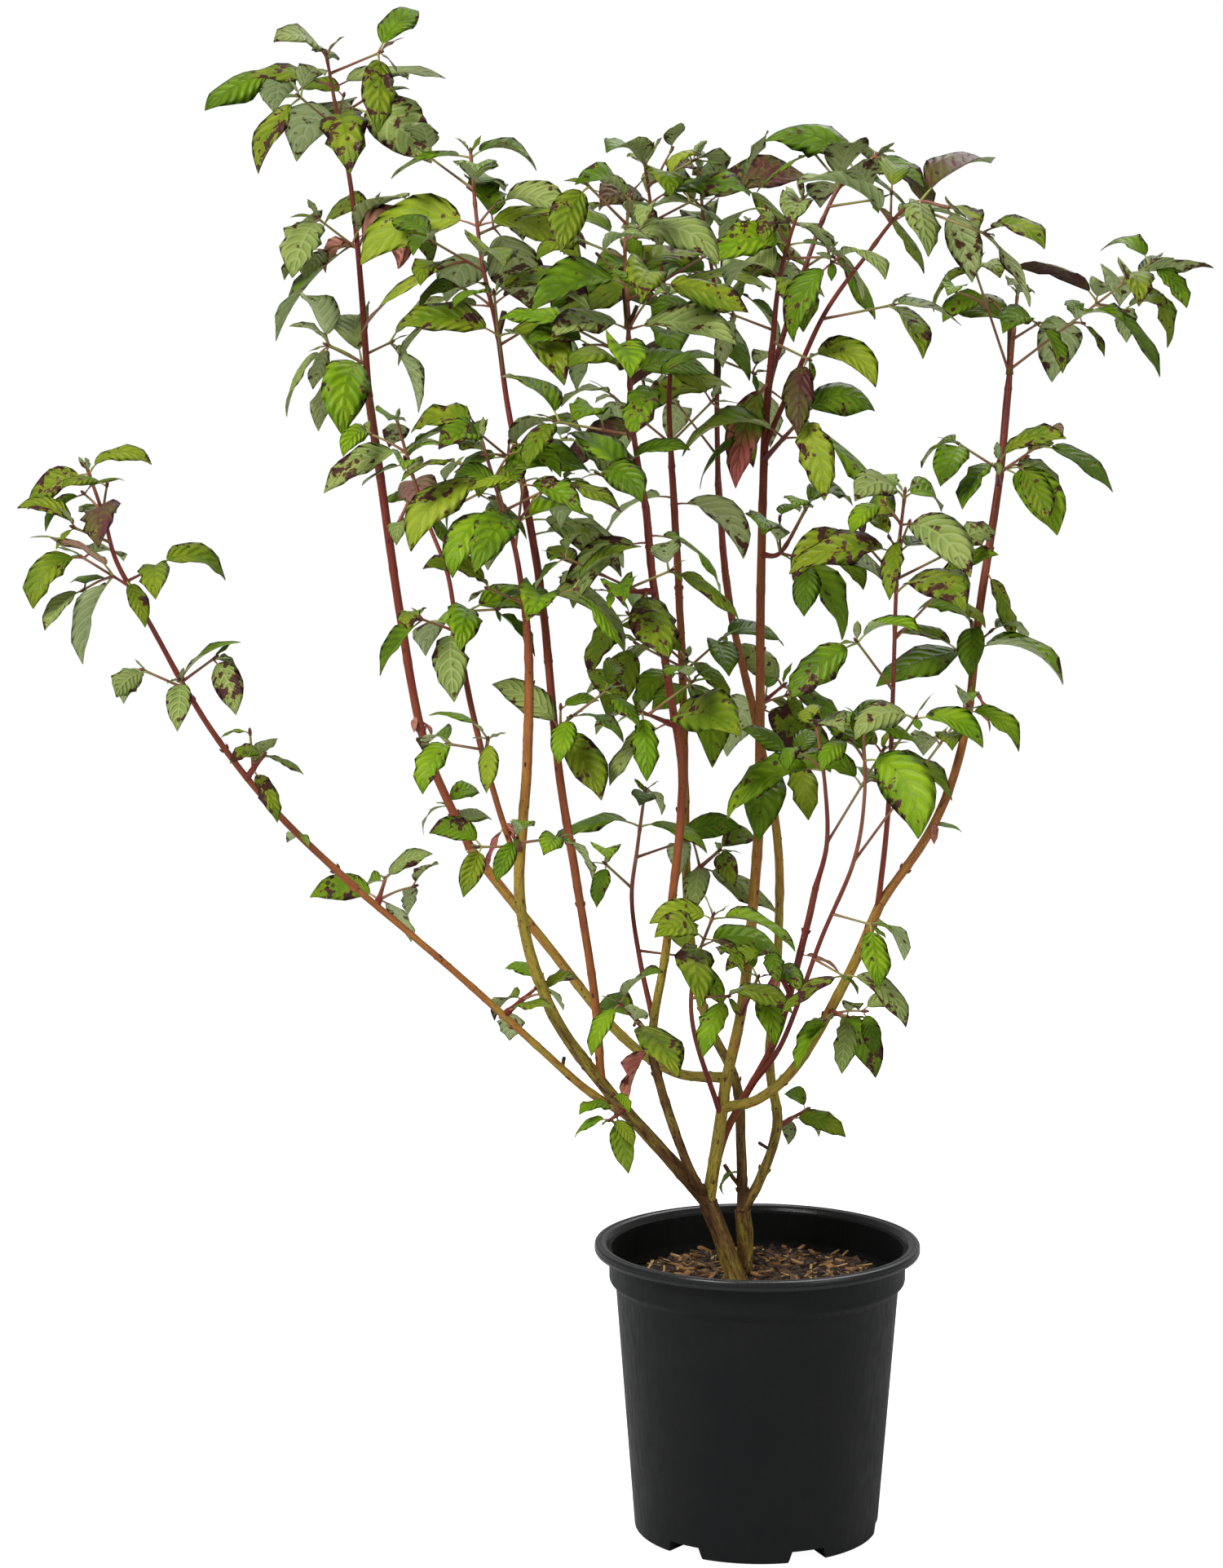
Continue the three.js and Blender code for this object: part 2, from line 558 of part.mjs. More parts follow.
function makePot() {
  const rimFoot = pot.height - pot.rimDepth;
  const bodyTop = pot.collarFoot - pot.stepHeight;
  const shell = turned([
    [0, 0],
    [pot.footRadius - pot.bevel, 0],
    [pot.footRadius, pot.bevel],
    [pot.bodyRadius, bodyTop],
    [pot.collarRadius - 1, pot.collarFoot],
    [pot.collarRadius, rimFoot],
    [pot.rimRadius - 1.5, rimFoot],
    [pot.rimRadius, rimFoot + 2],
    [pot.rimRadius, pot.height - 2],
    [pot.rimRadius - 2, pot.height],
    [pot.rimMouth, pot.height],
    [pot.collarRadius - pot.wall, pot.height - 4],
    [pot.collarRadius - 1 - pot.wall, pot.collarFoot + 1],
    [pot.bodyRadius - pot.wall, bodyTop - 1],
    [pot.footRadius - pot.wall, pot.floor],
    [0, pot.floor],
  ]);
  let cut = shell;
  for (let i = 0; i < notch.count; i += 1) {
    cut = cut.subtract(drainageChannel(notch.first + (i * 360) / notch.count));
  }
  return cut;
}

function makeSoil() {
  const inner = pot.wall + soil.clear;
  return turned([
    [0, pot.floor + gap],
    [pot.footRadius - inner, pot.floor + gap],
    [pot.bodyRadius - inner - 0.4, soil.edge - 3],
    [pot.bodyRadius - inner - 3, soil.edge],
    [soil.flat, soil.top],
    [0, soil.top],
  ]);
}

// Grow the trunks and boughs
const parts = [];
const limbs = new Map();
const jackets = [];

// Cuts a solid clear of the limbs that stand already, then drops slivers and loose scraps.
function cutClear(solid, others) {
  const cleared = others.reduce((rest, other) => rest.subtract(other), solid);
  const joined = asSolid(asGeometry(largestPiece(cleared)));
  return largestPiece(joined.simplify(sliver));
}

function keepLimb(limb, solid, color) {
  limbs.set(limb.name, limb);
  parts.push({ name: limb.name, solid: cutClear(solid, jackets), color, roughness: 0.7 });
  jackets.push(limbSolid(limb, jacket));
  addStalkPoints(limb, limb.name);
}

function belowGround() {
  const block = new THREE.BoxGeometry(100, 100, 60);
  block.translate(0, 0, soil.top + gap - 30);
  return asSolid(block);
}

parts.push({ name: "pot", solid: makePot(), color: potBlack, roughness: 0.5 });
parts.push({ name: "soil", solid: makeSoil(), color: soilBrown, roughness: 1 });
for (const [name, { girth, flare, route }] of Object.entries(trunks)) {
  const limb = makeLimb(name, route.map(vector), girth, 7, 3, flare);
  keepLimb(limb, limbSolid(limb, 0).subtract(belowGround()), barkBrown);
}
for (const [name, { from, girth, bark, route }] of Object.entries(boughs)) {
  const limb = makeLimb(name, growFrom(limbs.get(from[0]), from[1], route), girth, 5, 2);
  keepLimb(limb, limbSolid(limb, 0), bark);
}

// Grow the stems and side sprigs of every mass first, then the leaves, so that each leaf keeps clear of all
function sprigLimb(stem, [joint, heading, rise, reach]) {
  const foot = pointAtJoint(stem, joint);
  const level = Math.cos(radians(rise)) * reach;
  const run = new THREE.Vector3(
    level * Math.cos(radians(heading)),
    level * Math.sin(radians(heading)),
    Math.sin(radians(rise)) * reach,
  );
  return makeLimb("sprig", [foot, foot.clone().add(run)], [sprig.foot, sprig.tip], 3, 1);
}

function sprigPoints(limb) {
  const points = [];
  for (let i = 4; i <= 16; i += 1) points.push(limb.curve.getPoint(i / 16));
  return points;
}

const crowns = Object.entries(masses).map(([name, { from, pairs, leaf, route, sprigs = [] }]) => {
  const bough = limbs.get(from[0]);
  const atTip = from[1] === bough.spans;
  const foot = atTip ? bough.radiusAt(1) : 2.2;
  const stem = makeLimb(name, growFrom(bough, from[1], route), [foot, stemTip], 3, 1);
  addStalkPoints(stem, name);
  return { name, pairs, leaf, sprigs, stem };
});
for (const crown of crowns) {
  crown.shoots = [{ limb: crown.stem, pairs: crown.pairs }];
  for (const row of crown.sprigs) {
    const limb = sprigLimb(crown.stem, row);
    if (meetsStalk(sprigPoints(limb), limb.curve.getPoint(0), crown.name, 3)) continue;
    crown.shoots.push({ limb, pairs: row[4] });
  }
  crown.shoots.slice(1).forEach(({ limb }) => addStalkPoints(limb, crown.name));
}

let leafNumber = 0;
for (const crown of crowns) {
  crown.leaves = [];
  const firstTurn = 360 * chance(leafNumber, 0);
  crown.shoots.forEach(({ limb, pairs }, shoot) => {
    stemNodes(limb, pairs, crown.leaf * 0.42).forEach(({ at, direction }, pair) => {
      const size = crown.leaf * (pair === 0 ? 0.72 : 1);
      const turn = firstTurn + 90 * pair + 50 * shoot;
      growLeaf(crown.leaves, leafNumber, crown.name, at, direction, turn, size);
      growLeaf(crown.leaves, leafNumber + 1, crown.name, at, direction, turn + 180, size);
      leafNumber += 2;
    });
  });
}

for (const crown of crowns) {
  const twigs = crown.shoots.map(({ limb }) => limbSolid(limb, 0));
  const fused = wasm.Manifold.union([...twigs, ...crown.leaves.map(leafSolid)]);
  parts.push({ name: crown.name, solid: cutClear(fused, jackets), color: leafGreen, roughness: 0.6 });
}

const plant = new THREE.Group();
for (const { name, solid, color, roughness } of parts) {
  const mesh = new THREE.Mesh(asGeometry(solid), new THREE.MeshStandardMaterial({ color, roughness }));
  mesh.name = name;
  plant.add(mesh);
}
export default plant;
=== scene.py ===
# %% [markdown]
# # A red-barked dogwood in a nursery pot
#
# This file dresses a finished CAD model of a young potted dogwood. The CAD frame gives every size and
# place, and this script gives the looks: bark, leaves, mulch and moulded plastic. A frame like this is
# loaded first and never moved, so whatever is added here fits the real sizes without any fitting.

# %% Load the frame
import math
from functools import partial

import bpy
import numpy as np
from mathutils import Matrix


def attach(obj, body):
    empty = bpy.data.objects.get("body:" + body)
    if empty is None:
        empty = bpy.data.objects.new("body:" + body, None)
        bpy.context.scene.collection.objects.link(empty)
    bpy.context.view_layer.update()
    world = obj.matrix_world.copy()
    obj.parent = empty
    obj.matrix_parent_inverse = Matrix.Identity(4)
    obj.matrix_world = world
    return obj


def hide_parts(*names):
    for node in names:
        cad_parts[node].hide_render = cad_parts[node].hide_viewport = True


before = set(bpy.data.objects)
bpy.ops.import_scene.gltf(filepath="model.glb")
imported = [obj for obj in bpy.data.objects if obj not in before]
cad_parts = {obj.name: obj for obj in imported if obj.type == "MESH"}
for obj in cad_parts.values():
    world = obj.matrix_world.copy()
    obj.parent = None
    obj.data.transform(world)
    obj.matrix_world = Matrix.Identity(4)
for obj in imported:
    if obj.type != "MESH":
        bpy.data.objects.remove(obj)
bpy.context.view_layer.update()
MM = 0.001
print("CAD nodes:", len(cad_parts))

# %% [markdown]
# ## Camera
#
# The photograph was taken from a little above the middle of the plant with a longish lens, which keeps
# the pot's ellipses flat. A camera could be placed by eye, but here its distance, height and tilt were
# worked out from the ellipses of the pot's rim and foot, so the render lines up with the picture.

# %% Camera
LONG_SIDE_PIXELS = 1923
FOCAL_PIXELS = 4253
SENSOR = 36.0
CAMERA_AT = (-0.103, -2.4, 0.81)
CAMERA_TILT = 6.6

camera_data = bpy.data.cameras.new("camera")
camera_data.sensor_width = SENSOR
camera_data.lens = FOCAL_PIXELS / LONG_SIDE_PIXELS * SENSOR
camera_data.dof.use_dof = False
camera = bpy.data.objects.new("camera", camera_data)
camera.location = CAMERA_AT
camera.rotation_euler = (math.radians(90 - CAMERA_TILT), 0, 0)
bpy.context.scene.collection.objects.link(camera)
bpy.context.scene.camera = camera
print("lens, mm:", round(camera_data.lens, 1))

# %% [markdown]
# ## Helpers for nodes, meshes and materials
#
# Every finish below is a node tree, and so is everything that repeats. One small function adds a node
# with its settings and links, which keeps the trees short to read. Colours are written as the hex values
# that a paint card would give, and one function turns them to the linear values that a renderer works in.

# %% Node, colour and mesh helpers
# Math nodes are given their values in order, and range nodes a value, the range that it comes from and
# the range that it goes to; the other kinds are given their inputs by name
MATH, VECTOR_MATH, MAP_RANGE = "ShaderNodeMath", "ShaderNodeVectorMath", "ShaderNodeMapRange"
NOISE, BUMP, MIX = "ShaderNodeTexNoise", "ShaderNodeBump", "ShaderNodeMix"
NAMED_VALUE = "GeometryNodeInputNamedAttribute"


def linear(colour):
    """Linear RGBA of an sRGB hex colour such as #3c6a1e."""
    shares = [int(colour[i:i + 2], 16) / 255 for i in (1, 3, 5)]
    return [s / 12.92 if s <= 0.04045 else ((s + 0.055) / 1.055) ** 2.4 for s in shares] + [1.0]


def add_node(tree, kind, inputs=(), **settings):
    """Adds a node. Its inputs are values, sockets or nodes, by identifier or in the sockets' order."""
    node = tree.nodes.new(kind)
    for name, value in settings.items():
        setattr(node, name, value)
    sockets = {socket.identifier: socket for socket in node.inputs}
    given = inputs if isinstance(inputs, dict) else dict(zip(sockets, inputs))
    for name, value in given.items():
        if isinstance(value, bpy.types.Node):
            value = next(socket for socket in value.outputs if socket.enabled)
        if isinstance(value, bpy.types.NodeSocket):
            tree.links.new(value, sockets[name])
        else:
            sockets[name].default_value = value
    return node


def new_mesh(name, places, faces=(), edges=()):
    """A mesh from its points in metres and its faces or edges."""
    mesh = bpy.data.meshes.new(name)
    mesh.from_pydata([tuple(place) for place in places], edges, faces)
    return mesh


def store(mesh, label, values):
    """Keeps a number or a vector for each point of a mesh, for a node tree to read by its label."""
    values = np.array(values, np.float32)
    kind, field = ("FLOAT", "value") if values.ndim == 1 else ("FLOAT_VECTOR", "vector")
    mesh.attributes.new(label, kind, "POINT").data.foreach_set(field, values.ravel())


def mesh_object(name, mesh):
    """A new object at the origin that holds the mesh."""
    thing = bpy.data.objects.new(name, mesh)
    bpy.context.scene.collection.objects.link(thing)
    return thing


def start_material(name):
    """An empty material, and the function that adds a node to it."""
    material = bpy.data.materials.new(name)
    material.use_nodes = True
    material.node_tree.nodes.clear()
    return material, partial(add_node, material.node_tree)


def finish_material(material, colour, roughness, ior, bump=None, **more):
    """Ends a material in its shader. More inputs of the shader are named with _ for each space."""
    inputs = {"Base Color": colour, "Roughness": roughness, "IOR": ior}
    inputs.update({name.replace("_", " "): value for name, value in more.items()})
    if bump is not None:
        inputs["Normal"] = bump
    shader = add_node(material.node_tree, "ShaderNodeBsdfPrincipled", inputs)
    add_node(material.node_tree, "ShaderNodeOutputMaterial", {"Surface": shader})
    return material


def start_tree(name, sockets):
    """A Geometry Nodes tree with named inputs, the function that adds a node to it, and its inputs."""
    tree = bpy.data.node_groups.new(name, "GeometryNodeTree")
    for direction in ("INPUT", "OUTPUT"):
        tree.interface.new_socket("Geometry", in_out=direction, socket_type="NodeSocketGeometry")
    for label, kind in sockets.items():
        tree.interface.new_socket(label, in_out="INPUT", socket_type="NodeSocket" + kind)
    return tree, partial(add_node, tree), tree.nodes.new("NodeGroupInput").outputs


def close_tree(tree, geometry, material, smooth=True):
    """Ends a tree as every tree here ends: real geometry with its material, shaded smooth or left flat."""
    if smooth:
        shade = {"Geometry": geometry, "Shade Smooth": True}
        geometry = add_node(tree, "GeometryNodeSetShadeSmooth", shade)
    real = add_node(tree, "GeometryNodeRealizeInstances", {"Geometry": geometry})
    coated = add_node(tree, "GeometryNodeSetMaterial", {"Geometry": real, "Material": material})
    tree.links.new(coated.outputs[0], tree.nodes.new("NodeGroupOutput").inputs[0])
    return tree


def applied_mesh(thing):
    """The object's mesh with its modifiers applied, as a plain mesh. The modifiers come off."""
    view_layer = bpy.context.evaluated_depsgraph_get()
    seen = thing.evaluated_get(view_layer)
    mesh = bpy.data.meshes.new_from_object(seen, preserve_all_data_layers=True, depsgraph=view_layer)
    thing.modifiers.clear()
    return mesh


def run_tree(thing, tree, values):
    """Runs a tree on an object and keeps the result as the object's plain mesh."""
    modifier = thing.modifiers.new(tree.name, "NODES")
    modifier.node_group = tree
    for item in tree.interface.items_tree:
        if item.in_out == "INPUT" and item.name in values:
            modifier[item.identifier] = values[item.name]
    mesh = applied_mesh(thing)
    if mesh.materials[0] is None:
        mesh.materials.pop(index=0)
    thing.data = mesh
    print(thing.name + ":", len(mesh.polygons), "faces")


# %% [markdown]
# ## The plant's own rule
#
# A shrub is not modelled leaf by leaf. It has a few limbs that someone measured, and then a rule that
# repeats: stems carry pairs of leaves, each pair turned a quarter round from the last, and each leaf
# leaves its stem, arches over and hangs. The tables below hold what was measured, in millimetres, and
# they are the CAD model's own tables, so the same rule grows the same crown here. It could be read
# from the CAD meshes instead, but a rule can be carried on to finer twigs and a finer leaf.

# %% Tables: trunks and boughs
# Each trunk: its radii at foot and tip, its root flare and the points that it passes
trunks = {
    "trunk_left": ((6.4, 5.8), 2.2, [[-11, -9, 170], [-24, -9, 208], [-35, -8, 237]]),
    "trunk_right": ((5.6, 5.2), 2, [[-9, 9, 170], [-8, 9, 200], [-10, 8, 227]]),
}
# Each bough: the limb and joint that it leaves from, radii at foot and tip, bark and points
boughs = {
    "bough_left_front": ("trunk_left", 2, (5, 2.3), "olive", [[-70, -25, 280], [-110, -45, 330],
        [-145, -60, 385], [-165, -70, 460], [-160, -83, 550], [-158, -90, 615], [-160, -92, 655]]),
    "bough_middle": ("trunk_left", 2, (4.7, 2.2), "olive", [[-30, -10, 270], [-25, -6, 304],
        [-22, -4, 325], [-10, 0, 385], [0, 13, 495], [1, 18, 575], [1, 14, 670], [3, 5, 775],
        [7, -3, 830]]),
    "bough_left_inner": ("bough_left_front", 2, (3, 2.3), "red", [[-115, -55, 395], [-128, -60, 480],
        [-139, -55, 550], [-150, -40, 660], [-162, -30, 735]]),
    "bough_low_left": ("bough_left_front", 1.45, (3.2, 2.6), "olive", [[-120, -46, 325], [-151, -56, 355],
        [-207, -73, 410], [-275, -90, 472]]),
    "bough_low_left_tip": ("bough_low_left", 4, (2.6, 1.9), "red", [[-327, -104, 526], [-372, -112, 587],
        [-414, -118, 665]]),
    "bough_tall_left": ("bough_middle", 3, (3.6, 3.1), "olive", [[-60, 20, 325], [-100, 45, 350],
        [-150, 70, 408], [-205, 87, 475]]),
    "bough_tall_left_tip": ("bough_tall_left", 4, (3.1, 2.7), "red", [[-238, 98, 550], [-256, 105, 645],
        [-269, 105, 740], [-277, 100, 800]]),
    "bough_slim_left": ("bough_left_front", 4.25, (2.1, 1.8), "red", [[-180, -66, 525], [-195, -55, 577],
        [-208, -38, 637]]),
    "bough_far_right": ("bough_middle", 2, (3.6, 3.1), "olive", [[1, -20, 314], [28, -28, 342],
        [60, -38, 403], [82, -42, 455]]),
    "bough_far_right_tip": ("bough_far_right", 4, (3.1, 2.3), "red", [[119, -37, 510], [140, -26, 570],
        [151, -10, 655], [165, 8, 740], [172, 20, 805]]),
    "bough_centre_front": ("trunk_left", 2, (3.4, 2.2), "brown", [[-50, -25, 268], [-69, -40, 326],
        [-75, -46, 362], [-65, -54, 430], [-55, -62, 537], [-64, -66, 605], [-75, -70, 677],
        [-80, -72, 727]]),
    "bough_centre_back": ("trunk_right", 2, (3.8, 2.2), "olive", [[-11, 13, 270], [-15, 20, 318],
        [-37, 30, 365], [-48, 43, 430], [-51, 57, 530], [-52, 64, 595], [-55, 72, 665], [-60, 80, 750]]),
    "bough_right_back": ("trunk_right", 2, (3.8, 2.2), "olive", [[3, 12, 250], [15, 24, 286],
        [10, 40, 330], [17, 66, 405], [17, 90, 483], [2, 111, 565], [-17, 130, 650], [-25, 143, 735]]),
    "bough_red_right": ("trunk_left", 2, (3, 2), "red", [[-24, 2, 280], [-10, -3, 310], [13, -20, 360],
        [30, -48, 435], [36, -60, 467]]),
}

# %% Table: leaf masses
# Each mass: the bough and joint that it grows from, pairs of leaves and their length, the points of its
# stem, and its side sprigs: joint of the stem, heading, rise in degrees, reach and pairs
masses = {
    "leaves_tall_left_crown": ("bough_tall_left_tip", 4, 3, 72, [[-281, 92, 875], [-287, 85, 945],
        [-296, 80, 996], [-303, 76, 1038]],
        [[0.3, 205, 25, 32, 2], [0.4, 45, 20, 25, 1], [1.4, 205, 35, 36, 2], [1.4, 55, 55, 34, 1],
        [2.8, 225, 30, 42, 1], [3, 35, 30, 44, 2], [3.5, 150, 15, 46, 1], [3.7, 325, 15, 46, 1]]),
    "leaves_tall_left_spur": ("bough_tall_left_tip", 2.5, 2, 42, [[-250, 112, 724]], []),
    "leaves_tall_left_low": ("bough_tall_left", 3.95, 2, 42, [[-222, 100, 505]], []),
    "leaves_slim_left_crown": ("bough_slim_left", 3, 3, 57, [[-215, -30, 680], [-229, -20, 716],
        [-241, -11, 752], [-250, -5, 783]],
        [[0.1, 200, 20, 26, 2], [0.4, 320, 5, 38, 2], [2, 330, 25, 46, 1]]),
    "leaves_slim_left_low": ("bough_slim_left", 1.6, 1, 54, [[-186, -84, 572]],
        [[0.5, 185, 10, 24, 1], [0.8, 345, 30, 27, 2]]),
    "leaves_left_front_crown": ("bough_left_front", 7, 3, 66, [[-167, -96, 700], [-178, -95, 736],
        [-189, -91, 772]],
        [[0.2, 140, 15, 32, 1], [0.2, 330, 15, 40, 2], [1, 285, 62, 50, 2], [1.7, 20, 25, 46, 1]]),
    "leaves_left_front_low": ("bough_left_front", 4.4, 1, 48, [[-166, -98, 507]],
        [[0.3, 185, 0, 26, 1], [0.6, 335, 10, 30, 1]]),
    "leaves_left_inner_crown": ("bough_left_inner", 5, 5, 72, [[-174, -20, 795], [-181, -14, 845],
        [-191, -9, 890], [-196, -4, 930], [-199, 0, 965]],
        [[0.3, 215, 35, 42, 2], [0.3, 40, 25, 42, 1], [1.4, 260, 62, 60, 2], [1.8, 40, 25, 45, 1],
        [2.9, 215, 25, 45, 2], [3.5, 40, 20, 45, 2], [4.3, 140, 30, 46, 1]]),
    "leaves_left_inner_low": ("bough_left_inner", 3.2, 2, 56, [[-131, -84, 587]],
        [[0.5, 215, 25, 32, 2], [0.9, 330, 35, 36, 1]]),
    "leaves_centre_front_crown": ("bough_centre_front", 8, 5, 72, [[-88, -74, 775], [-91, -76, 815],
        [-92, -76, 856], [-94, -74, 896], [-91, -70, 932]],
        [[0.2, 215, 20, 38, 2], [1.4, 295, 25, 40, 1], [2.3, 205, 25, 44, 2], [3.2, 300, 15, 40, 1],
        [3.9, 150, 20, 32, 1], [4.5, 210, 40, 38, 1], [1, 190, 10, 52, 2]]),
    "leaves_centre_front_middle": ("bough_centre_front", 6.9, 2, 68, [[-102, -94, 672]],
        [[0.4, 195, 25, 56, 2], [0.8, 320, 20, 44, 1]]),
    "leaves_centre_front_low": ("bough_centre_front", 5.6, 2, 75, [[-83, -96, 592]],
        [[0.4, 200, 20, 50, 2], [0.8, 330, 35, 40, 1]]),
    "leaves_centre_front_base": ("bough_centre_front", 3, 2, 57, [[-97, -70, 390]], []),
    "leaves_slender_shoot": ("bough_centre_front", 3.2, 2, 54, [[-83, -36, 412], [-89, -26, 455],
        [-85, -15, 490], [-80, -9, 527]],
        [[1.2, 20, -10, 34, 1], [2.2, 230, 35, 34, 1], [2.8, 40, 10, 38, 1]]),
    "leaves_centre_back_crown": ("bough_centre_back", 8, 5, 72, [[-62, 85, 793], [-61, 90, 836],
        [-66, 91, 882], [-74, 91, 928], [-79, 90, 962]],
        [[0.4, 150, 35, 56, 2], [0.4, 325, 40, 46, 1], [2, 310, 30, 38, 2], [3, 40, 25, 42, 1],
        [3.9, 50, 20, 45, 1], [4.1, 150, 15, 36, 1], [4.6, 335, 25, 38, 2]]),
    "leaves_centre_back_middle": ("bough_centre_back", 6.1, 2, 75, [[-50, 36, 616]],
        [[0.3, 315, 35, 42, 1], [0.5, 215, 25, 45, 1], [0.8, 170, 40, 52, 2]]),
    "leaves_centre_back_low": ("bough_centre_back", 4.3, 2, 56, [[-28, 20, 482]], []),
    "leaves_right_back_crown": ("bough_right_back", 8, 4, 70, [[-26, 148, 790], [-26, 152, 850],
        [-29, 151, 886], [-36, 148, 925], [-39, 145, 962]],
        [[0.4, 140, 45, 50, 1], [1.6, 310, -15, 40, 1], [2.4, 325, 35, 46, 2], [3, 120, 10, 36, 1],
        [3.5, 40, 30, 42, 1], [4.5, 320, 10, 38, 1]]),
    "leaves_right_back_low": ("bough_right_back", 1.95, 2, 34, [[36, 38, 293]], []),
    "leaves_right_back_middle": ("bough_right_back", 6.1, 2, 68, [[22, 124, 590]], []),
    "leaves_middle_crown": ("bough_middle", 9, 3, 66, [[10, -9, 868], [15, -15, 897], [26, -21, 932]],
        [[0.2, 300, -15, 46, 1], [0.4, 130, 15, 42, 1], [1.9, 310, 0, 46, 1]]),
    "leaves_middle_crown_right": ("bough_middle", 8.6, 3, 68, [[25, 20, 872], [44, 28, 924],
        [59, 31, 950], [80, 31, 966]], [[1.3, 55, 20, 38, 1], [2.2, 320, 5, 36, 1], [2.8, 120, 35, 42, 1]]),
    "leaves_right_arch_shoot": ("bough_middle", 7.9, 3, 72, [[22, -10, 812], [42, -24, 857],
        [67, -38, 893], [96, -54, 928], [122, -64, 926]],
        [[1.9, 335, 10, 50, 1], [2.8, 245, 5, 42, 1], [4, 330, -20, 58, 1]]),
    "leaves_middle_high": ("bough_middle", 7.8, 2, 75, [[26, -48, 787]], []),
    "leaves_middle_side": ("bough_middle", 7.2, 2, 72, [[14, -4, 694], [30, -20, 724]],
        [[1, 305, 30, 56, 1]]),
    "leaves_middle_low": ("bough_middle", 5.4, 2, 57, [[21, -18, 552]], []),
    "leaves_dark_red_shoot": ("bough_middle", 1.8, 2, 68, [[-46, -30, 364], [-46, -42, 408],
        [-34, -60, 448]], [[1.5, 305, 10, 42, 1]]),
    "leaves_middle_base": ("bough_middle", 3.8, 1, 70, [[-2, -38, 402]], []),
    "leaves_far_right_crown": ("bough_far_right_tip", 5, 2, 57, [[175, 21, 840], [178, 24, 870]],
        [[0.3, 205, 68, 76, 2], [0.4, 12, 36, 126, 4], [1, 290, 15, 38, 1]]),
    "leaves_far_right_high": ("bough_far_right_tip", 4, 1, 66, [[161, -24, 756]],
        [[0.5, 345, 35, 34, 2], [0.7, 200, 30, 34, 1]]),
    "leaves_far_right_middle": ("bough_far_right_tip", 2.6, 2, 64, [[142, -44, 647]], []),
    "leaves_upright_shoot": ("bough_far_right", 3.9, 4, 68, [[85, -60, 520], [86, -80, 605],
        [87, -92, 687], [91, -99, 737]],
        [[1.5, 290, 35, 46, 1], [2, 230, 40, 54, 1], [2.4, 30, 40, 44, 1], [2.9, 150, 45, 36, 1],
        [2.9, 325, 25, 45, 1]]),
    "leaves_far_right_base": ("bough_far_right", 2.6, 2, 52, [[58, -66, 380]], []),
    "leaves_red_right_crown": ("bough_red_right", 5, 2, 64, [[43, -70, 500], [41, -78, 540],
        [35, -80, 580]], [[1, 25, 55, 74, 2]]),
    "leaves_red_right_low": ("bough_red_right", 3.4, 2, 43, [[3, -62, 423]], []),
    "leaves_red_right_shoot": ("bough_red_right", 2.2, 2, 66, [[16, -32, 357], [40, -62, 433],
        [60, -88, 490], [66, -101, 537], [64, -109, 587]],
        [[1.8, 300, -10, 38, 1], [2.3, 330, -10, 30, 1], [3, 15, 52, 128, 2]]),
    "leaves_low_left_crown": ("bough_low_left_tip", 3, 2, 64, [[-429, -119, 695], [-436, -119, 722],
        [-446, -118, 752]], [[0.4, 150, 25, 42, 2], [0.5, 320, 20, 32, 1], [1.4, 225, 20, 30, 1]]),
    "leaves_low_left_middle": ("bough_low_left_tip", 2.2, 1, 56, [[-386, -134, 616]],
        [[0.6, 195, 25, 28, 1], [0.9, 345, 35, 28, 1]]),
    "leaves_low_left_spur": ("bough_low_left_tip", 1.4, 2, 36, [[-333, -122, 565]], []),
    "leaves_low_left_low": ("bough_low_left", 3.8, 2, 42, [[-257, -68, 474]], []),
    "leaves_low_left_base": ("bough_low_left", 2.5, 3, 43, [[-152, -42, 398]], []),
    "leaves_left_front_base": ("bough_left_front", 1.6, 2, 34, [[-104, -70, 309]], []),
}

# %% [markdown]
# ## Curves, chance and room
#
# A limb follows a smooth curve through its points. Chance has to be repeatable, so that the plant is
# the same each time: the same two numbers always draw the same chance. A leaf that would touch a stem,
# another leaf or the pot is drawn again, a little smaller and freer, and is left out after seven tries.
# A physics solver could push leaves apart, but the rule is quicker and gives the CAD model's leaves.

# %% Curves and limbs
POT_HEIGHT = 207
POT_RIM = 115
SPRIG_RADII = (1.4, 1.5)
STEM_TIP = 1.7
SPUR_RADIUS = 2.2
SAMPLES_PER_SPAN = 24
CURVE_STEP = 1e-4
FLARE_REACH = 0.45


def curve_point(points, share):
    """The place at a share from 0 to 1 of a smooth curve through the points."""
    spans = len(points) - 1
    place = spans * share
    span = min(int(place), spans - 1)
    part = place - span
    start, end = points[span], points[span + 1]
    before = points[span - 1] if span > 0 else 2 * points[0] - points[1]
    after = points[span + 2] if span + 2 <= spans else 2 * points[-1] - points[-2]
    leave, arrive = (end - before) / 2, (after - start) / 2
    square = 3 * (end - start) - 2 * leave - arrive
    cube = 2 * (start - end) + leave + arrive
    return start + part * (leave + part * (square + part * cube))


def curve_direction(points, share):
    """The direction of a curve at a share of it."""
    low, high = max(0, share - CURVE_STEP), min(1, share + CURVE_STEP)
    run = curve_point(points, high) - curve_point(points, low)
    return run / np.linalg.norm(run)


def curve_length(points, steps=200):
    """The length of a curve."""
    places = np.array([curve_point(points, i / steps) for i in range(steps + 1)])
    return np.linalg.norm(np.diff(places, axis=0), axis=1).sum()


def make_limb(name, points, radii, flare=0):
    """A limb: its name, the points of its curve, its radii at foot and tip, and its root flare."""
    return {"name": name, "points": np.array(points, float), "radii": radii, "flare": flare}


def spans_of(limb):
    return len(limb["points"]) - 1


def radius_at(limb, share):
    foot, tip = limb["radii"]
    return foot + (tip - foot) * share + limb["flare"] * max(0, 1 - share / FLARE_REACH) ** 2


def joint_of(limb, joint):
    return curve_point(limb["points"], joint / spans_of(limb))


